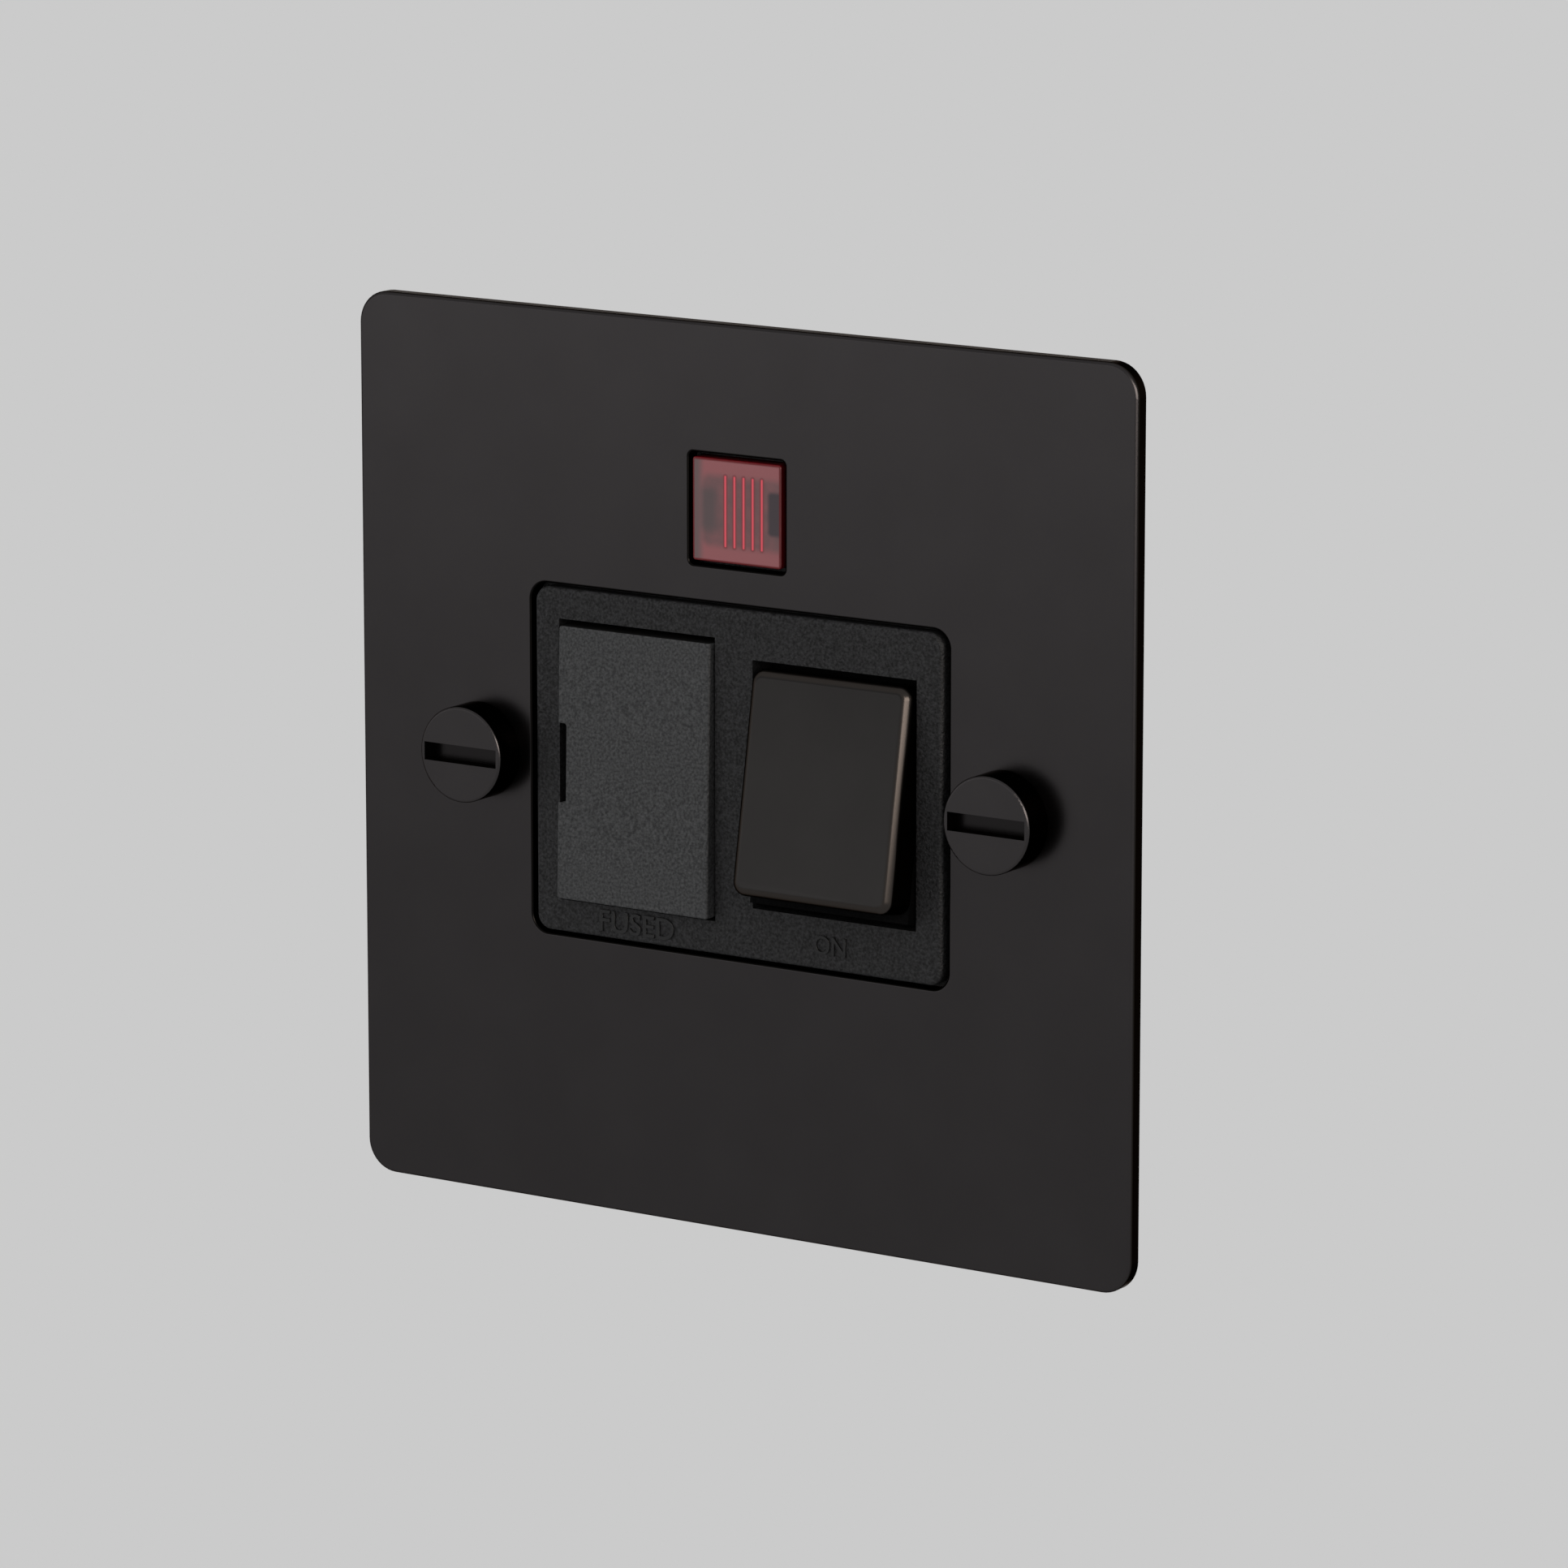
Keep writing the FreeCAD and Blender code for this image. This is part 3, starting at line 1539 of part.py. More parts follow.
def make_terminal(name, x, side):
    block_body = new_body(f"terminal_{name}")
    add(
        block_body,
        f"{name}_block",
        "XZ_Plane",
        -cell.terminal_front,
        cell.terminal_back,
        rounded(sized(0), sized(0), cell.terminal_width, cell.terminal_height, cell.terminal_corner),
    )
    take(
        block_body,
        f"{name}_bore",
        "XY_Plane",
        -cell.terminal_height / 2,
        cell.terminal_height / 2,
        circle(0, 0, cell.terminal_bore),
    )
    take(
        block_body,
        f"{name}_tapped_hole",
        "XZ_Plane",
        0,
        cell.terminal_back,
        circle(0, 0, cell.terminal_screw + 2 * cell.terminal_screw_fit),
    )
    move_to(block_body, x, TERMINAL_Y, side * TERMINAL_RISE)

    screw = new_body(f"terminal_screw_{name}")
    shank_start = cell.terminal_bore / 2 + cell.terminal_screw_fit
    head_front = cell.terminal_back + cell.terminal_screw_travel
    head_back = head_front + cell.terminal_screw_head_height
    add(screw, f"{name}_shank", "XZ_Plane", shank_start, head_front, circle(0, 0, cell.terminal_screw))
    add(screw, f"{name}_head", "XZ_Plane", head_front, head_back, circle(0, 0, cell.terminal_screw_head))
    soften(screw, f"{name}_head_edge", cell.terminal_screw_bevel, lies_at(head_back), "Chamfer")
    take(
        screw,
        f"{name}_slot",
        "XZ_Plane",
        head_back - cell.terminal_slot,
        head_back,
        rectangle(sized(0), sized(0), cell.terminal_slot, 2 * cell.terminal_screw_head),
    )
    move_to(screw, x, TERMINAL_Y, side * TERMINAL_RISE)


def make_earthing():
    """The strap that joins the earth terminals and the leaf that touches the plate."""
    half = cell.metal_thick / 2
    keep(
        block(
            "strap_block",
            (EARTH_STRAP_X - half, EARTH_STRAP_X + half),
            (cell.earth_strap_depth, cell.earth_strap_depth + cell.earth_strap_width),
            (-TERMINAL_START, TERMINAL_START),
        ),
        "earth_strap",
    )
    body = new_body("earth_leaf")
    riser_back = TERMINAL_RISE
    riser_front = riser_back - cell.metal_thick
    foot = TERMINAL_RISE - cell.earth_leaf_foot
    add(
        body,
        "leaf_bend",
        "YZ_Plane",
        -cell.earth_offset - cell.earth_leaf_width / 2,
        -cell.earth_offset + cell.earth_leaf_width / 2,
        polygon(
            (0, foot),
            (cell.metal_thick, foot),
            (cell.metal_thick, riser_front),
            (cell.bay_floor_back, riser_front),
            (cell.bay_floor_back, riser_back),
            (0, riser_back),
        ),
    )


# Fixings: brass pillars in the back of the plate and the screws that clamp the mouldings to them


def make_module_fixing(place, x, z):
    pillar = new_body(f"plate_pillar_{place}")
    pillar_end = BAY_FLOOR_FRONT
    add(
        pillar,
        f"pillar_{place}",
        "XZ_Plane",
        0,
        pillar_end,
        circle(0, 0, cell.pillar_diameter),
    )
    add(
        pillar,
        f"pillar_spigot_{place}",
        "XZ_Plane",
        -cell.pillar_spigot_length,
        0,
        circle(0, 0, cell.pillar_spigot),
    )
    shank_start = cell.bay_floor_back - cell.pillar_screw_length
    tapped = cell.pillar_screw + cell.pillar_fit
    take(
        pillar,
        f"pillar_tapped_hole_{place}",
        "XZ_Plane",
        shank_start - cell.pillar_fit,
        pillar_end,
        circle(0, 0, tapped),
    )
    move_to(pillar, x, 0, z)

    screw = new_body(f"base_screw_{place}")
    head_back = cell.bay_floor_back + cell.pillar_screw_head_height
    add(
        screw,
        f"base_shank_{place}",
        "XZ_Plane",
        shank_start,
        cell.bay_floor_back,
        circle(0, 0, cell.pillar_screw),
    )
    add(
        screw,
        f"base_head_{place}",
        "XZ_Plane",
        cell.bay_floor_back,
        head_back,
        circle(0, 0, cell.pillar_screw_head),
    )
    soften(screw, f"base_head_edge_{place}", cell.pillar_screw_edge, lies_at(head_back))
    take(
        screw,
        f"base_slot_{place}",
        "XZ_Plane",
        head_back - cell.pillar_screw_slot,
        head_back,
        rectangle(sized(0), sized(0), cell.pillar_screw_slot, 2 * cell.pillar_screw_head),
    )
    move_to(screw, x, 0, z)


make_front_plate()
make_front_moulding()
make_rear_base()
make_fixing_screw("fixing_screw_left", -cell.screw_spacing / 2)
make_fixing_screw("fixing_screw_right", cell.screw_spacing / 2)
make_neon_lens()
make_neon_lamp()
make_neon_circuit()
make_fuse_carrier()
make_fuse()
make_fuse_clip("fuse_clip_upper", 1)
make_fuse_clip("fuse_clip_lower", -1)
make_rocker_cap()
make_rocker_carrier()
make_pivot_pin()
for pole, offset, pole_x in (
    ("line", -cell.pole_offset, LINE_POLE),
    ("neutral", cell.pole_offset, NEUTRAL_POLE),
):
    make_plunger(pole, offset)
    make_moving_contact(pole, pole_x)
make_bars()
for terminal, (terminal_x, terminal_side) in TERMINALS.items():
    make_terminal(terminal, terminal_x, terminal_side)
make_earthing()
make_module_fixing("upper", -cell.upper_pillar_offset, cell.upper_pillar_rise)
make_module_fixing("lower", cell.lower_pillar_offset, -cell.lower_pillar_drop)

doc.recompute()
for thing in doc.Objects:
    if "Invalid" in thing.State or "Error" in thing.State:
        raise RuntimeError(f"{thing.Label} did not recompute: {thing.State}")
os.makedirs("parts", exist_ok=True)
for node in nodes:
    if node.Shape.isNull() or not node.Shape.isValid() or not node.Shape.Solids:
        raise RuntimeError(f"{node.Label} has no valid solid")
for node in nodes:
    node.Shape.exportStep(f"parts/{node.Label}.step")
    print(f"{node.Label}: {len(node.Shape.Solids)} solid, {node.Shape.Volume:.2f} mm3")
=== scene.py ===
# %% [markdown]
# A switched fused spur unit: a flat smoked-bronze plate with a black moulded insert, a fuse carrier that
# pulls out, a rocker switch and a small red neon window, held to its wall box by two slotted screws.
# The imported parts already have the right shapes and places, so this lesson gives them their finishes and
# adds what they lack: the raised words, the screw threads, the last bit of height of the rocker's cap and
# the carrier's cover, and the light and shade inside the neon window, painted on its face. We start by
# loading the parts.

# %% Load the imported parts
import json
import math
from collections import namedtuple

import bmesh
import bpy
from mathutils import Matrix, Vector


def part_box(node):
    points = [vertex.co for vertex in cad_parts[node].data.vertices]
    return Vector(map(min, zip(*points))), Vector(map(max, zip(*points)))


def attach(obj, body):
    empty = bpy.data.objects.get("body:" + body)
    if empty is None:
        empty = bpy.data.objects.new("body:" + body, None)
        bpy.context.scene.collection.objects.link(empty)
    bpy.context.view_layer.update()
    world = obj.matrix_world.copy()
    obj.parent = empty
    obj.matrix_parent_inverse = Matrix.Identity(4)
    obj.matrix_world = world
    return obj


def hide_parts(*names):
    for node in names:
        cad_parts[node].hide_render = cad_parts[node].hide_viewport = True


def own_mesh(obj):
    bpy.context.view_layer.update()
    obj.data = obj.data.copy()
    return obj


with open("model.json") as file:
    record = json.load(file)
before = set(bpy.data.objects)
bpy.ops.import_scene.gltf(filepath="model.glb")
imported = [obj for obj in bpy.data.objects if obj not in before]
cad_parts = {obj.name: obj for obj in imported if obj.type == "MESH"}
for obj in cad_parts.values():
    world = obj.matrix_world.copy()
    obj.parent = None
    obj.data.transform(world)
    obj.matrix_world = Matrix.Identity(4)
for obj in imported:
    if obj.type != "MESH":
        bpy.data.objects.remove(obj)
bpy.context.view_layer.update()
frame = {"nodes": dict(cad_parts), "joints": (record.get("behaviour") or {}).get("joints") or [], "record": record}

# %% [markdown]
# Every length is in metres, and this object is small, so a helper turns millimetres into metres.
# We also look up which body carries each part, because a new piece has to ride on the body of the part
# that it sits on.

# %% Millimetres, and what belongs to each part
def mm(length):
    return length / 1000


record = frame["record"]
body_of_part = {part: body for body, members in record["behaviour"]["bodies"].items() for part in members}

# %% [markdown]
# A finish is a node material. All of them begin in the same way: a Principled shader with one colour and
# one roughness, and the Object coordinates, which are metres in the frame of the part. Object coordinates
# stay with the surface when a part moves, so a grain doesn't slide over it.

# %% Begin a finish
def begin_finish(name, colour, roughness, metallic=0.0):
    material = bpy.data.materials.new(name)
    material.use_nodes = True
    tree = material.node_tree
    shader = tree.nodes["Principled BSDF"]
    shader.inputs["Base Color"].default_value = (*colour, 1)
    shader.inputs["Roughness"].default_value = roughness
    shader.inputs["Metallic"].default_value = metallic
    place = tree.nodes.new("ShaderNodeTexCoord")
    return material, tree, shader, place.outputs["Object"]


# %% [markdown]
# Plastic that was moulded against an etched or spark-eroded tool has a fine grain. The cheapest honest
# way to show it is a noise pattern that bends the normal through a Bump node. Its distance is the real
# depth of the grain, and its scale is one over the size of a grain.

# %% Add a grain to a finish
def add_grain(tree, shader, place, grain, depth, detail=2.0):
    noise = tree.nodes.new("ShaderNodeTexNoise")
    noise.inputs["Scale"].default_value = 1 / grain
    noise.inputs["Detail"].default_value = detail
    bump = tree.nodes.new("ShaderNodeBump")
    bump.inputs["Distance"].default_value = depth
    bump.inputs["Strength"].default_value = 1.0
    tree.links.new(place, noise.inputs["Vector"])
    tree.links.new(noise.outputs["Fac"], bump.inputs["Height"])
    tree.links.new(bump.outputs["Normal"], shader.inputs["Normal"])


# %% [markdown]
# Colour is never quite even either. A large soft noise that moves the colour between two close values
# gives the patchiness of a real lacquer or moulding.

# %% Vary the colour of a finish
def vary_colour(tree, shader, place, low, high, patch, detail=3.0):
    noise = tree.nodes.new("ShaderNodeTexNoise")
    noise.inputs["Scale"].default_value = 1 / patch
    noise.inputs["Detail"].default_value = detail
    ramp = tree.nodes.new("ShaderNodeValToRGB")
    for element, position, colour in zip(ramp.color_ramp.elements, (0.3, 0.7), (low, high)):
        element.position = position
        element.color = (*colour, 1)
    tree.links.new(place, noise.inputs["Vector"])
    tree.links.new(noise.outputs["Fac"], ramp.inputs["Fac"])
    tree.links.new(ramp.outputs["Color"], shader.inputs["Base Color"])
    return ramp.outputs["Color"]


# %% Put a finish on parts
def dress(finish, *names):
    for name in names:
        part = frame["nodes"][name]
        part.data.materials.clear()
        part.data.materials.append(finish)
    print(finish.name, "on", len(names), "parts")


# %% [markdown]
# Many tones on this unit follow an edge: painted shade on the cut sides of the plate, a painted highlight
# on the rim of the rocker, the painted lines of light in the neon window. All those outlines are rectangles
# with rounded corners that face the viewer along Y. The distance of a point from such an outline needs only
# a few Math nodes, it is negative inside, and a mask that goes from 0 to 1 between two distances then lays
# a colour over the one below.

# %% The distance from a rounded outline, in nodes
Outline = namedtuple("Outline", "half_x half_z corner middle tilt", defaults=((0, 0, 0), 0.0))


def outline_distance(tree, place, outline):
    mapping = tree.nodes.new("ShaderNodeMapping")
    mapping.vector_type = "TEXTURE"
    mapping.inputs["Location"].default_value = outline.middle
    mapping.inputs["Rotation"].default_value = (outline.tilt, 0, 0)
    tree.links.new(place, mapping.inputs["Vector"])
    ways = tree.nodes.new("ShaderNodeSeparateXYZ")
    tree.links.new(mapping.outputs["Vector"], ways.inputs["Vector"])
    past = tree.nodes.new("ShaderNodeCombineXYZ")
    for way, half in (("X", outline.half_x), ("Z", outline.half_z)):
        size = tree.nodes.new("ShaderNodeMath")
        size.operation = "ABSOLUTE"
        tree.links.new(ways.outputs[way], size.inputs[0])
        over = tree.nodes.new("ShaderNodeMath")
        over.operation = "SUBTRACT"
        over.inputs[1].default_value = half - outline.corner
        tree.links.new(size.outputs[0], over.inputs[0])
        beyond = tree.nodes.new("ShaderNodeMath")
        beyond.operation = "MAXIMUM"
        beyond.inputs[1].default_value = 0
        tree.links.new(over.outputs[0], beyond.inputs[0])
        tree.links.new(beyond.outputs[0], past.inputs[way])
    reach = tree.nodes.new("ShaderNodeVectorMath")
    reach.operation = "LENGTH"
    tree.links.new(past.outputs["Vector"], reach.inputs[0])
    distance = tree.nodes.new("ShaderNodeMath")
    distance.operation = "SUBTRACT"
    distance.inputs[1].default_value = outline.corner
    tree.links.new(reach.outputs["Value"], distance.inputs[0])
    return distance.outputs[0]


# %% Tones that follow outlines
def soft_mask(tree, distance, start, end):
    """0 at a distance of start, 1 at end, both in metres."""
    step = tree.nodes.new("ShaderNodeMapRange")
    step.interpolation_type = "SMOOTHSTEP"
    step.inputs["From Min"].default_value = start
    step.inputs["From Max"].default_value = end
    tree.links.new(distance, step.inputs["Value"])
    return step.outputs["Result"]


def lay_over(tree, under, mask, colour):
    blend = tree.nodes.new("ShaderNodeMix")
    blend.data_type = "RGBA"
    under_socket, over_socket, colour_out = 6, 7, 2  # the Mix node's sockets for colours
    tree.links.new(mask, blend.inputs["Factor"])
    tree.links.new(under, blend.inputs[under_socket])
    blend.inputs[over_socket].default_value = (*colour, 1)
    return blend.outputs[colour_out]


def lay_tones(tree, shader, place, colour, tones):
    """Each tone is (outline, start, end, colour), and lies over the ones before it."""
    for outline, start, end, tone in tones:
        distance = outline_distance(tree, place, outline)
        colour = lay_over(tree, colour, soft_mask(tree, distance, start, end), tone)
    tree.links.new(colour, shader.inputs["Base Color"])


# %% [markdown]
# The plate, the rocker's cap and the screws have one finish: bronze that was darkened with smoke until it
# is nearly black. It is still a metal, so its metallic value is one and its dark colour sits in the
# reflection. Specular Tint is how much it reflects at a grazing angle, which is little for such a skin, and
# the cut sides are painted darker than the face, as painted shade.

# %% Smoked bronze
def smoked_bronze(name, dark, light, tones=()):
    satin = 0.25
    material, tree, shader, place = begin_finish(name, light, satin, 1.0)
    shader.inputs["Specular Tint"].default_value = (0.3, 0.27, 0.25, 1)
    colour = vary_colour(tree, shader, place, dark, light, mm(9))
    add_grain(tree, shader, place, mm(0.11), mm(0.0012), 3.0)
    lay_tones(tree, shader, place, colour, tones)
    return material


# %% The plate
# Painted shade: the cut sides of the plate and of the rocker's cap are painted darker than the face.
painted_shade_side = (0.016, 0.0142, 0.0125)
# Painted shade: the rims of the plate's holes and the sides of the screw heads are painted nearly black.
painted_shade_edge = (0.006, 0.0055, 0.0052)
half_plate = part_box("front_plate")[1].x
lens_middle = sum(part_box("neon_lens"), Vector()) / 2
plate_outline = Outline(half_plate, half_plate, mm(3.2))
insert_hole = Outline(mm(23.95), mm(17.35), mm(1.8))
window_hole = Outline(mm(5.5), mm(5.45), mm(0.5), (0, 0, lens_middle.z))
plate_dark, plate_light = (0.0392, 0.0363, 0.037), (0.042, 0.039, 0.0397)
plate_finish = smoked_bronze(
    "plate_bronze",
    plate_dark,
    plate_light,
    (
        (plate_outline, mm(-0.12), mm(0.0), painted_shade_side),
        (insert_hole, mm(0.24), mm(0.16), painted_shade_edge),
        (window_hole, mm(0.24), mm(0.16), painted_shade_edge),
    ),
)
dress(plate_finish, "front_plate")

# %% [markdown]
# A slightly lighter ring is painted just inside the outline of the rocker's cap, on its rounded rim: a
# painted highlight, which the warm card on the right brightens into the line down its right edge. The cap's
# cut sides get the plate's painted shade. The cap is tilted about the rocker's pin, and the outline tilts
# with it.

# %% The finish of the rocker's cap
rocker_joint = next(joint for joint in frame["joints"] if joint["name"] == "rocker_hinge")
rocker_middle = Vector(rocker_joint["pos_m"])
rocker_tilt = math.radians(10)
cap_outline = Outline(mm(9), mm(10.9), mm(1.4), tuple(rocker_middle), -rocker_tilt)
# Painted highlight: a lighter ring on the cap's rounded rim.
painted_highlight_rim = (0.042, 0.0367, 0.0335)
cap_finish = smoked_bronze(
    "cap_bronze",
    (0.0262, 0.0247, 0.0242),
    (0.0288, 0.0272, 0.0265),
    (
        (cap_outline, mm(-0.86), mm(-0.62), painted_highlight_rim),
        (cap_outline, mm(-0.1), mm(-0.02), painted_shade_side),
    ),
)

# %% [markdown]
# On the real unit the cap of the rocker and the cover of the fuse carrier stand a little further out than
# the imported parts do. A new piece can stand for a part: we copy the part's mesh, join its loose triangles,
# pick the points that have to move, and let the sides grow with them.

# %% Copy a part, move some of its points, and let the copy stand for it
def copied(part):
    mesh = bmesh.new()
    mesh.from_mesh(frame["nodes"][part].data)
    bmesh.ops.remove_doubles(mesh, verts=mesh.verts, dist=mm(0.001))
    return mesh


def move_points(mesh, chosen, move):
    points = [vertex for vertex in mesh.verts if chosen(vertex.co)]
    bmesh.ops.transform(mesh, matrix=move, verts=points)
    print("moved", len(points), "points of", len(mesh.verts))


def stand_in(part, name, mesh, finish):
    data = bpy.data.meshes.new(name)
    mesh.to_mesh(data)
    mesh.free()
    piece = bpy.data.objects.new(name, data)
    bpy.context.scene.collection.objects.link(piece)
    piece.data.materials.clear()
    piece.data.materials.append(finish)
    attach(piece, body_of_part[part])
    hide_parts(part)
    return piece


# %% The cap of the rocker goes straight out
cap_out = Vector((0, -math.cos(rocker_tilt), math.sin(rocker_tilt)))
cap_sides_end = mm(3.25)
cap_rise = mm(0.75)
cap = copied("rocker_cap")
move_points(
    cap,
    lambda point: (point - rocker_middle).dot(cap_out) > cap_sides_end,
    Matrix.Translation(cap_out * cap_rise),
)
stand_in("rocker_cap", "rocker_cap_front", cap, cap_finish)

# %% [markdown]
# The insert and the fuse carrier are black mouldings. The insert has a fine, dry grain, and the carrier
# a coarser one, like leather, whose colour is painted a little lighter, as painted light on a face that
# meets the light. The rocker's skirt lies deep in its well, so it is painted almost black and given a low
# IOR, as painted shade: only a trace of light comes back from it.

# %% Black mouldings
def moulded_black(name, low, high, roughness, grain, depth, detail, tones=(), ior=1.29):
    material, tree, shader, place = begin_finish(name, low, roughness)
    shader.inputs["IOR"].default_value = ior
    colour = vary_colour(tree, shader, place, low, high, mm(0.27), 2.0)
    add_grain(tree, shader, place, grain, depth, detail)
    lay_tones(tree, shader, place, colour, tones)
    return material


insert_finish = moulded_black(
    "insert_black", (0.001, 0.001, 0.0012), (0.0268, 0.0267, 0.0282), 0.55, mm(0.24), mm(0.12), 3.0
)
dress(insert_finish, "front_moulding")
# Painted shade: the rocker's skirt is painted almost black, with a low IOR, for the shade deep in its well.
skirt_painted_shade = moulded_black(
    "rocker_black", (0.0005, 0.0005, 0.0006), (0.0025, 0.0025, 0.0027), 0.7, mm(0.24), mm(0.04), 2.0, ior=1.12
)
dress(skirt_painted_shade, "rocker_carrier")

# %% [markdown]
# The carrier sits a little loose in its tunnel, and its cover leans out towards the lower end. A shear does
# that: each point goes out in proportion to how far it lies below the cover's top. The finger notch in its
# left side gets a little wider, and the sides of the cover are painted as dark as the gap about it, as
# painted shade.

# %% The cover of the fuse carrier leans out
cover_low, cover_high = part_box("fuse_carrier")
cover_middle = (cover_low + cover_high) / 2
half_cover = (cover_high - cover_low) / 2
cover_outline = Outline(half_cover.x, half_cover.z, mm(0.3), (cover_middle.x, 0, cover_middle.z))
# Painted shade: the sides of the carrier's cover are painted as dark as the gap about it.
cover_painted_shade = (0.0015, 0.0015, 0.0016)
# Painted light: the carrier's colour is painted lighter than the insert's, for a face that meets the light.
carrier_finish = moulded_black(
    "carrier_black",
    (0.0225, 0.023, 0.024),
    (0.067, 0.0678, 0.069),
    0.6,
    mm(0.26),
    mm(0.12),
    2.0,
    ((cover_outline, mm(-0.05), mm(-0.01), cover_painted_shade),),
)

out_at_top, out_at_bottom = mm(0.2), mm(0.8)
cover_lean = (out_at_bottom - out_at_top) / (cover_high.z - cover_low.z)
lean_out = Matrix.Translation((0, -out_at_top - cover_lean * cover_high.z, 0))
lean_out[1][2] = cover_lean
cover_front_end = cover_low.y + mm(0.35)
notch_wall = cover_low.x + mm(1.0)
notch_reach = mm(4.2)
notch_growth = mm(0.35)
cover = copied("fuse_carrier")
move_points(cover, lambda point: point.y < cover_front_end, lean_out)
move_points(
    cover,
    lambda point: abs(point.x - notch_wall) < mm(0.02) and abs(point.z - cover_middle.z) < notch_reach,
    Matrix.Translation((notch_growth, 0, 0)),
)
stand_in("fuse_carrier", "fuse_carrier_cover", cover, carrier_finish)

# %% [markdown]
# Behind the plate the base is a pale moulding, with brass terminals and zinc-plated screws. Brass and
# zinc are real metals here, so their colour sits in the reflection and the metallic value is one.

# %% The base
base_finish, base_tree, base_shader, base_place = begin_finish("base_moulding", (0.6, 0.59, 0.55), 0.45)
vary_colour(base_tree, base_shader, base_place, (0.56, 0.55, 0.515), (0.62, 0.61, 0.575), mm(6))
add_grain(base_tree, base_shader, base_place, mm(0.25), mm(0.008))
dress(base_finish, "rear_base")

# %% The metals inside
def metal(name, colour, roughness, grain=mm(0.15)):
    material, tree, shader, place = begin_finish(name, colour, roughness, 1.0)
    darker = tuple(share * 0.8 for share in colour)
    vary_colour(tree, shader, place, darker, colour, mm(2.5), 4.0)
    add_grain(tree, shader, place, grain, mm(0.002), 4.0)
    return material


small_screws = [name for name in frame["nodes"] if name.startswith(("terminal_screw", "base_screw"))]
terminals = [
    name for name in frame["nodes"] if name.startswith("terminal_") and name not in small_screws
]
dress(metal("turned_brass", (0.78, 0.57, 0.27), 0.3), *terminals, "plate_pillar_upper", "plate_pillar_lower")
dress(
    metal("rolled_brass", (0.75, 0.53, 0.25), 0.38, mm(0.3)),
    "earth_strap",
    "earth_leaf",
    "fixed_contact_line",
    "fixed_contact_neutral",
    "fulcrum_line",
    "fulcrum_neutral",
    "fuse_clip_upper",
    "fuse_clip_lower",
    "moving_contact_line",
    "moving_contact_neutral",
)
dress(metal("zinc_plated_steel", (0.62, 0.62, 0.6), 0.32), *small_screws)
dress(metal("oiled_steel", (0.09, 0.088, 0.085), 0.4), "rocker_pivot_pin")
dress(
    metal("silver", (0.85, 0.84, 0.8), 0.25),
    "moving_tip_line",
    "moving_tip_neutral",
    "fixed_tip_line",
    "fixed_tip_neutral",
)
dress(metal("nickel_plate", (0.72, 0.69, 0.63), 0.22), "fuse_cap_upper", "fuse_cap_lower")

# %% [markdown]
# The fuse's barrel is glazed ceramic, the plungers are nylon, the resistor is lacquered and the leads are
# sleeved. All four are pale and smooth, so one helper makes them, with a grain of its own for each.

# %% Ceramic, nylon, lacquer and sleeving
def pale_finish(name, colour, roughness, grain, depth):
    material, tree, shader, place = begin_finish(name, colour, roughness)
    vary_colour(tree, shader, place, tuple(share * 0.92 for share in colour), colour, mm(2))
    add_grain(tree, shader, place, grain, depth)
    return material


dress(pale_finish("fuse_ceramic", (0.78, 0.76, 0.7), 0.3, mm(0.4), mm(0.006)), "fuse_barrel")
nylon = pale_finish("plunger_nylon", (0.72, 0.7, 0.62), 0.35, mm(0.3), mm(0.004))
dress(nylon, "plunger_line", "plunger_neutral")
dress(pale_finish("resistor_lacquer", (0.42, 0.3, 0.16), 0.25, mm(0.5), mm(0.01)), "neon_resistor")
sleeving = pale_finish("lead_sleeving", (0.62, 0.58, 0.5), 0.45, mm(0.4), mm(0.01))
dress(sleeving, "neon_lead_line", "neon_lead_neutral", "resistor_lead")

# %% [markdown]
# The neon window is a cup of red plastic whose front is milky. Light that enters the ribs inside it leaves
# again towards the eye, and all of this is painted on the window's face: five thin lines of painted light
# with darker edges, a redder band of painted light above and below them, greyer patches of painted shade
# where nothing pale lies behind, and a dark red rim, the red of its sides darkened as painted shade of the
# gap about it. Each of these is a tone that follows a rounded outline, and the tones are laid over each
# other from the largest to the finest.

# %% The milky plastic of the window
lens_finish, lens_tree, lens_shader, lens_place = begin_finish("milky_red", (0.15, 0.075, 0.078), 0.32)
lens_shader.inputs["IOR"].default_value = 1.38
haze = vary_colour(
    lens_tree, lens_shader, lens_place, (0.14, 0.078, 0.08), (0.195, 0.086, 0.09), mm(1.1), 4.0
)
add_grain(lens_tree, lens_shader, lens_place, mm(0.5), mm(0.004))


# %% The painted light and shade in the window
def painted_window_tone(x, z, half_x, half_z, corner, start, end, colour):
    """A tone painted on the window's face to stand for light and shade inside it, in millimetres from the middle
    of the face.
    """
    middle = (mm(x), 0, lens_middle.z + mm(z))
    return Outline(mm(half_x), mm(half_z), mm(corner), middle), mm(start), mm(end), colour


# Painted light and shade on the window's face: a redder band, greyer patches, lines of light and a dark rim.
window_light_and_shade = [
    painted_window_tone(2.2, 0, 5.9, 3.2, 0.6, -0.3, 0.7, (0.295, 0.1, 0.107)),
    painted_window_tone(-3.2, 0.1, 0.75, 1.9, 0.5, 0.9, -0.5, (0.1, 0.07, 0.072)),
    painted_window_tone(4.9, 0.2, 1.2, 2.0, 0.3, 0.35, -0.15, (0.05, 0.037, 0.043)),
    painted_window_tone(-4.9, 0.3, 0.7, 5.2, 0.3, 0.7, -0.4, (0.14, 0.09, 0.092)),
]
rib_pitch = 1.04
middle_rib = 0.79
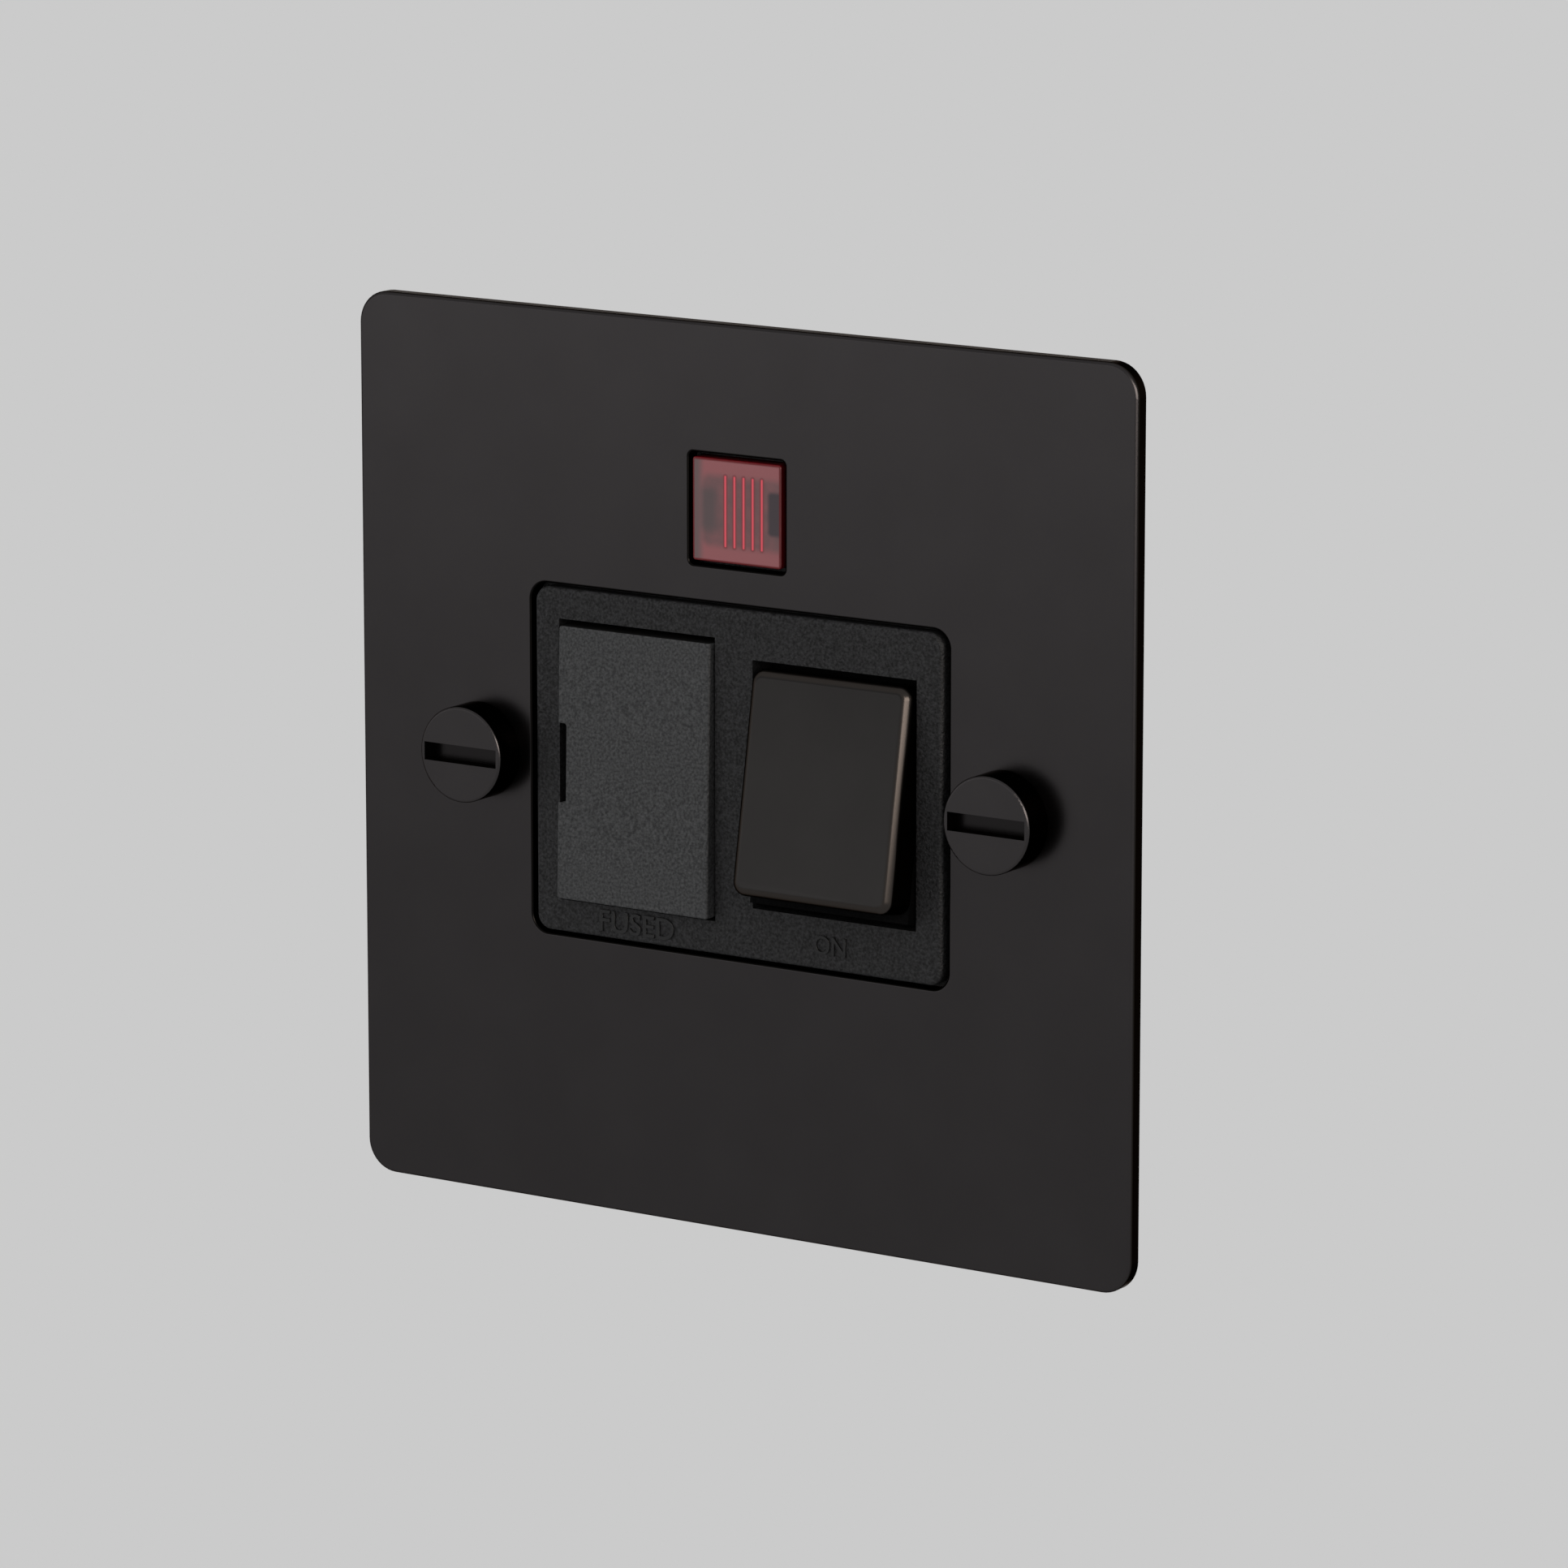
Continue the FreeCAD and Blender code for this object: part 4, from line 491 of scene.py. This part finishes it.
# Each rib is a line of painted light with a darker edge.
for step in (-2, -1, 0, 1, 2):
    rib = middle_rib + step * rib_pitch
    window_light_and_shade.append(painted_window_tone(rib, 0, 0.16, 3.5, 0.15, 0.22, -0.05, (0.2, 0.04, 0.046)))
    window_light_and_shade.append(painted_window_tone(rib, 0, 0.1, 3.45, 0.1, 0.05, -0.05, (0.82, 0.095, 0.13)))
# The dark red rim: the red of the window's sides, darkened as painted shade of the gap about it.
window_light_and_shade.append(painted_window_tone(0, 0, 5.05, 5.0, 0.3, -0.3, -0.14, (0.12, 0.0, 0.003)))
lay_tones(lens_tree, lens_shader, lens_place, haze, window_light_and_shade)
dress(lens_finish, "neon_lens")
print("window lines at a pitch of", rib_pitch, "mm in", len(window_light_and_shade), "window_light_and_shade")

# %% The glass of the lamp behind the window
glass_finish, glass_tree, glass_shader, glass_place = begin_finish("lamp_glass", (0.95, 0.9, 0.86), 0.05)
glass_shader.inputs["Transmission Weight"].default_value = 0.8
glass_shader.inputs["IOR"].default_value = 1.45
add_grain(glass_tree, glass_shader, glass_place, mm(1.2), mm(0.01))
dress(glass_finish, "neon_lamp")

# %% [markdown]
# FUSED and ON are moulded on the insert below the carrier and the rocker, plain and slightly raised. A
# text object gives the letters, and we turn it into a mesh, bring it to the size that the letters have
# and stand it on the insert's face. The letters come from a smoother part of the mould than the grain.

# %% Raised words
word_finish = moulded_black(
    "word_black", (0.012, 0.012, 0.0122), (0.02, 0.0198, 0.0202), 0.38, mm(0.2), mm(0.01), 2.0
)
insert_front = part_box("front_moulding")[0].y
word_rise = mm(0.15)


def raised_word(name, word, middle_x, middle_z, width, height):
    curve = bpy.data.curves.new(name, "FONT")
    curve.body = word
    curve.size = mm(3)
    curve.align_x = "CENTER"
    curve.extrude = mm(0.06)
    curve.bevel_depth = mm(0.04)
    curve.bevel_resolution = 1
    curve.resolution_u = 6
    text = bpy.data.objects.new(name, curve)
    bpy.context.scene.collection.objects.link(text)
    bpy.context.view_layer.update()
    data = bpy.data.meshes.new_from_object(text.evaluated_get(bpy.context.evaluated_depsgraph_get()))
    bpy.data.objects.remove(text)
    xs = [vertex.co.x for vertex in data.vertices]
    ys = [vertex.co.y for vertex in data.vertices]
    top = max(vertex.co.z for vertex in data.vertices)
    middle = Vector(((min(xs) + max(xs)) / 2, (min(ys) + max(ys)) / 2, top))
    size = Matrix.Diagonal((width / (max(xs) - min(xs)), height / (max(ys) - min(ys)), 1, 1))
    stand = Matrix.Rotation(math.radians(90), 4, "X")
    place = Matrix.Translation((middle_x, insert_front - word_rise, middle_z))
    data.transform(place @ stand @ size @ Matrix.Translation(-middle))
    piece = bpy.data.objects.new(name, data)
    bpy.context.scene.collection.objects.link(piece)
    piece.data.materials.clear()
    piece.data.materials.append(word_finish)
    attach(piece, body_of_part["front_moulding"])
    print(word, "with", len(data.polygons), "faces")


raised_word("word_fused", "FUSED", mm(-11.5), mm(-15.25), mm(8.7), mm(2.2))
raised_word("word_on", "ON", mm(10.8), mm(-14.55), mm(3.6), mm(1.9))

# %% [markdown]
# The fixing screws are turned from bronze, with a fine M3.5 thread. The faces of their heads are a trace
# lighter than the plate, and their sides and the floors of their slots are painted darker, as painted
# shade. The slot lies along X on both heads, so two outlines seen from the front find the side and the slot.
# Such an outline has no depth, so the painted shade of the slot's floor falls on the shank behind it as well.

# %% The finishes of the screws
screw_light = tuple(share * 1.12 for share in plate_light)
# Painted shade: the floors of the slots are painted darker than the heads.
slot_painted_shade = (0.02, 0.0185, 0.0188)
half_slot_length, half_slot_width = mm(4.25), mm(0.9)


def screw_finish(part):
    low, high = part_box(part)
    half = (high.x - low.x) / 2
    middle = (low.x + half, 0, 0)
    head = Outline(half, half, half, middle)
    slot = Outline(half_slot_length, half_slot_width, mm(0.05), middle)
    tones = (
        (head, mm(-0.04), mm(0.0), painted_shade_edge),
        (slot, mm(0.03), mm(-0.03), slot_painted_shade),
    )
    return smoked_bronze(part + "_bronze", plate_light, screw_light, tones)


# %% [markdown]
# A thread is one small tooth spun about the screw while it moves along it, which the spin operator does in
# one step. It runs past both ends, so we cut it off level, close it, and press the tip to a blunt point.

# %% A thread
screw_radius = mm(1.75)
thread_pitch = mm(0.6)
thread_depth = mm(0.36)
screw_point = mm(0.5)
steps_per_turn = 24


def cut_level(mesh, level, way):
    """Cut off what lies past the level, in the way of +Y or -Y, and close the cut."""
    cut = bmesh.ops.bisect_plane(
        mesh,
        geom=mesh.verts[:] + mesh.edges[:] + mesh.faces[:],
        plane_co=(0, level, 0),
        plane_no=(0, way, 0),
        clear_outer=True,
    )
    rim = [edge for edge in cut["geom_cut"] if isinstance(edge, bmesh.types.BMEdge)]
    bmesh.ops.holes_fill(mesh, edges=rim, sides=0)


def thread(mesh, start, end, centre_x):
    root = screw_radius - thread_depth
    tooth = (
        (0.0, root), (0.12, root), (0.44, screw_radius), (0.56, screw_radius), (0.88, root), (1.0, root)
    )
    first = start - thread_pitch
    corners = [mesh.verts.new((reach, first + share * thread_pitch, 0)) for share, reach in tooth]
    chain = [mesh.edges.new(pair) for pair in zip(corners, corners[1:])]
    turns = math.ceil((end - first) / thread_pitch) + 1
    bmesh.ops.spin(
        mesh,
        geom=corners + chain,
        cent=(0, 0, 0),
        axis=(0, 1, 0),
        dvec=(0, thread_pitch / steps_per_turn, 0),
        angle=2 * math.pi * turns,
        steps=steps_per_turn * turns,
    )
    bmesh.ops.remove_doubles(mesh, verts=mesh.verts, dist=mm(0.002))
    cut_level(mesh, start, -1)
    cut_level(mesh, end, 1)
    for vertex in mesh.verts:
        past = vertex.co.y - (end - screw_point)
        if past > 0:
            reach = math.hypot(vertex.co.x, vertex.co.z)
            limit = screw_radius - past
            if reach > limit:
                vertex.co.x *= limit / reach
                vertex.co.z *= limit / reach
    bmesh.ops.recalc_face_normals(mesh, faces=mesh.faces)
    bmesh.ops.translate(mesh, vec=(centre_x, 0, 0), verts=mesh.verts)


# %% [markdown]
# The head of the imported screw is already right. So we cut the shank off a copy, just in front of the wall
# plane where the plate hides the cut, and put the threaded shank behind it in the same mesh.

# %% Screws with a real thread
head_end = mm(-0.05)
thread_start = mm(-0.1)
for part in ("fixing_screw_left", "fixing_screw_right"):
    low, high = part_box(part)
    screw = copied(part)
    cut_level(screw, head_end, 1)
    shank = bmesh.new()
    thread(shank, thread_start, high.y, (low.x + high.x) / 2)
    joined = bpy.data.meshes.new(part + "_shank")
    shank.to_mesh(joined)
    shank.free()
    screw.from_mesh(joined)
    bpy.data.meshes.remove(joined)
    print(part, "threaded,", len(screw.faces), "faces")
    stand_in(part, part + "_threaded", screw, screw_finish(part))

# %% [markdown]
# Each plunger rests on a small spring in the rocker, and the spring shortens when the plunger goes in. A
# copy of each spring, with a mesh of its own, stands for it in a finish of drawn wire.

# %% The springs
spring_finish = metal("drawn_wire", (0.58, 0.58, 0.58), 0.28)
for pole in ("line", "neutral"):
    coil = stand_in(f"spring_{pole}", f"spring_{pole}_wire", copied(f"spring_{pole}"), spring_finish)
    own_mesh(coil)

# %% [markdown]
# The photograph is a studio shot on plain grey. The floor lies well below the unit, and for rays from the
# camera and from shiny surfaces the floor and the world have the grey of the picture. The light on the
# object doesn't change with that grey, because Light Path tells the two kinds of ray apart.

# %% Rays that show the backdrop
def shown_to_eye(tree):
    """1 for rays from the camera and for those that metal and glass send on, 0 for light on the object."""
    rays = tree.nodes.new("ShaderNodeLightPath")
    either = rays.outputs["Is Camera Ray"]
    for kind in ("Is Glossy Ray", "Is Transmission Ray"):
        larger = tree.nodes.new("ShaderNodeMath")
        larger.operation = "MAXIMUM"
        tree.links.new(either, larger.inputs[0])
        tree.links.new(rays.outputs[kind], larger.inputs[1])
        either = larger.outputs[0]
    return either


# %% Floor
floor_level = -0.6
floor_mesh = bmesh.new()
bmesh.ops.create_grid(floor_mesh, x_segments=1, y_segments=1, size=6)
bmesh.ops.translate(floor_mesh, vec=(0, 0, floor_level), verts=floor_mesh.verts)
floor_data = bpy.data.meshes.new("floor")
floor_mesh.to_mesh(floor_data)
floor_mesh.free()
floor = bpy.data.objects.new("floor", floor_data)
bpy.context.scene.collection.objects.link(floor)

# %% The floor's grey
backdrop_grey = (0.597, 0.597, 0.597)
floor_finish, floor_tree, floor_shader, floor_place = begin_finish("floor_grey", backdrop_grey, 0.9)
plain = floor_tree.nodes.new("ShaderNodeEmission")
plain.inputs["Color"].default_value = (*backdrop_grey, 1)
choose = floor_tree.nodes.new("ShaderNodeMixShader")
floor_tree.links.new(shown_to_eye(floor_tree), choose.inputs["Fac"])
floor_tree.links.new(floor_shader.outputs["BSDF"], choose.inputs[1])
floor_tree.links.new(plain.outputs["Emission"], choose.inputs[2])
floor_tree.links.new(choose.outputs["Shader"], floor_tree.nodes["Material Output"].inputs["Surface"])
floor.data.materials.append(floor_finish)

# %% World
room_grey = (0.5, 0.5, 0.5)
world = bpy.data.worlds.new("studio")
bpy.context.scene.world = world
world.use_nodes = True
world_tree = world.node_tree
room = world_tree.nodes["Background"]
room.inputs["Color"].default_value = (*room_grey, 1)
room.inputs["Strength"].default_value = 1.0
backdrop = world_tree.nodes.new("ShaderNodeBackground")
backdrop.inputs["Color"].default_value = (*backdrop_grey, 1)
backdrop.inputs["Strength"].default_value = 1.0
blend_world = world_tree.nodes.new("ShaderNodeMixShader")
world_tree.links.new(shown_to_eye(world_tree), blend_world.inputs["Fac"])
world_tree.links.new(room.outputs["Background"], blend_world.inputs[1])
world_tree.links.new(backdrop.outputs["Background"], blend_world.inputs[2])
world_tree.links.new(blend_world.outputs["Shader"], world_tree.nodes["World Output"].inputs["Surface"])

# %% [markdown]
# A satin dark metal shows every lamp as a haze, so each lamp does one thing. The key on the left gives the
# shadow beside each screw head, and is kept out of reflections, where it would draw a pale line on the
# rocker. The face lamp brings the plate up a little. The warm card on the right is seen only in
# reflections: it draws the line down the rocker's right edge and the glint on the screws. The top lamp
# fills from above.

# %% Lamps
def soft_lamp(name, place, aim, width, height, power, colour=(1, 1, 1), matt=True, gloss=True):
    """A lamp that lights matt surfaces, shows in shiny ones, or both, and never shows itself."""
    lamp = bpy.data.lights.new(name, "AREA")
    lamp.shape = "RECTANGLE"
    lamp.size = width
    lamp.size_y = height
    lamp.energy = power
    lamp.color = colour
    holder = bpy.data.objects.new(name, lamp)
    bpy.context.scene.collection.objects.link(holder)
    holder.location = place
    holder.rotation_euler = (Vector(aim) - Vector(place)).to_track_quat("-Z", "Y").to_euler()
    holder.visible_camera = False
    holder.visible_diffuse = matt
    holder.visible_glossy = gloss
    print(name, "at", place, power, "W")


soft_lamp("key_left", (-0.9, -0.54, 0.12), (0, 0, 0.01), 0.4, 0.7, 4.4, gloss=False)
soft_lamp("face", (-0.56, -0.83, 0), (0, 0, 0), 0.8, 0.25, 0.46)
warm = (1.0, 0.9, 0.82)
soft_lamp("card_right", (0.2, -0.16, 0.085), (0.01, 0, 0.085), 0.28, 0.13, 0.74, warm, matt=False)
soft_lamp("top", (-0.1, -0.12, 0.6), (0, 0, 0), 0.5, 0.2, 1.2, gloss=False)

# %% [markdown]
# The camera stands to the right of the unit and a little above, far away with a long lens, as the nearly
# parallel edges of the plate show.

# %% Camera
camera_place = (0.4175, -0.6277, 0.1568)
camera_view = Vector((-0.5382, 0.8178, -0.2040))
camera_data = bpy.data.cameras.new("camera")
camera_data.lens = 184.4
camera_data.sensor_width = 36
camera_data.clip_start = 0.05
camera_data.clip_end = 30
camera = bpy.data.objects.new("camera", camera_data)
bpy.context.scene.collection.objects.link(camera)
camera.location = camera_place
camera.rotation_euler = camera_view.to_track_quat("-Z", "Y").to_euler()
bpy.context.scene.camera = camera
bpy.context.scene.view_settings.view_transform = "Standard"
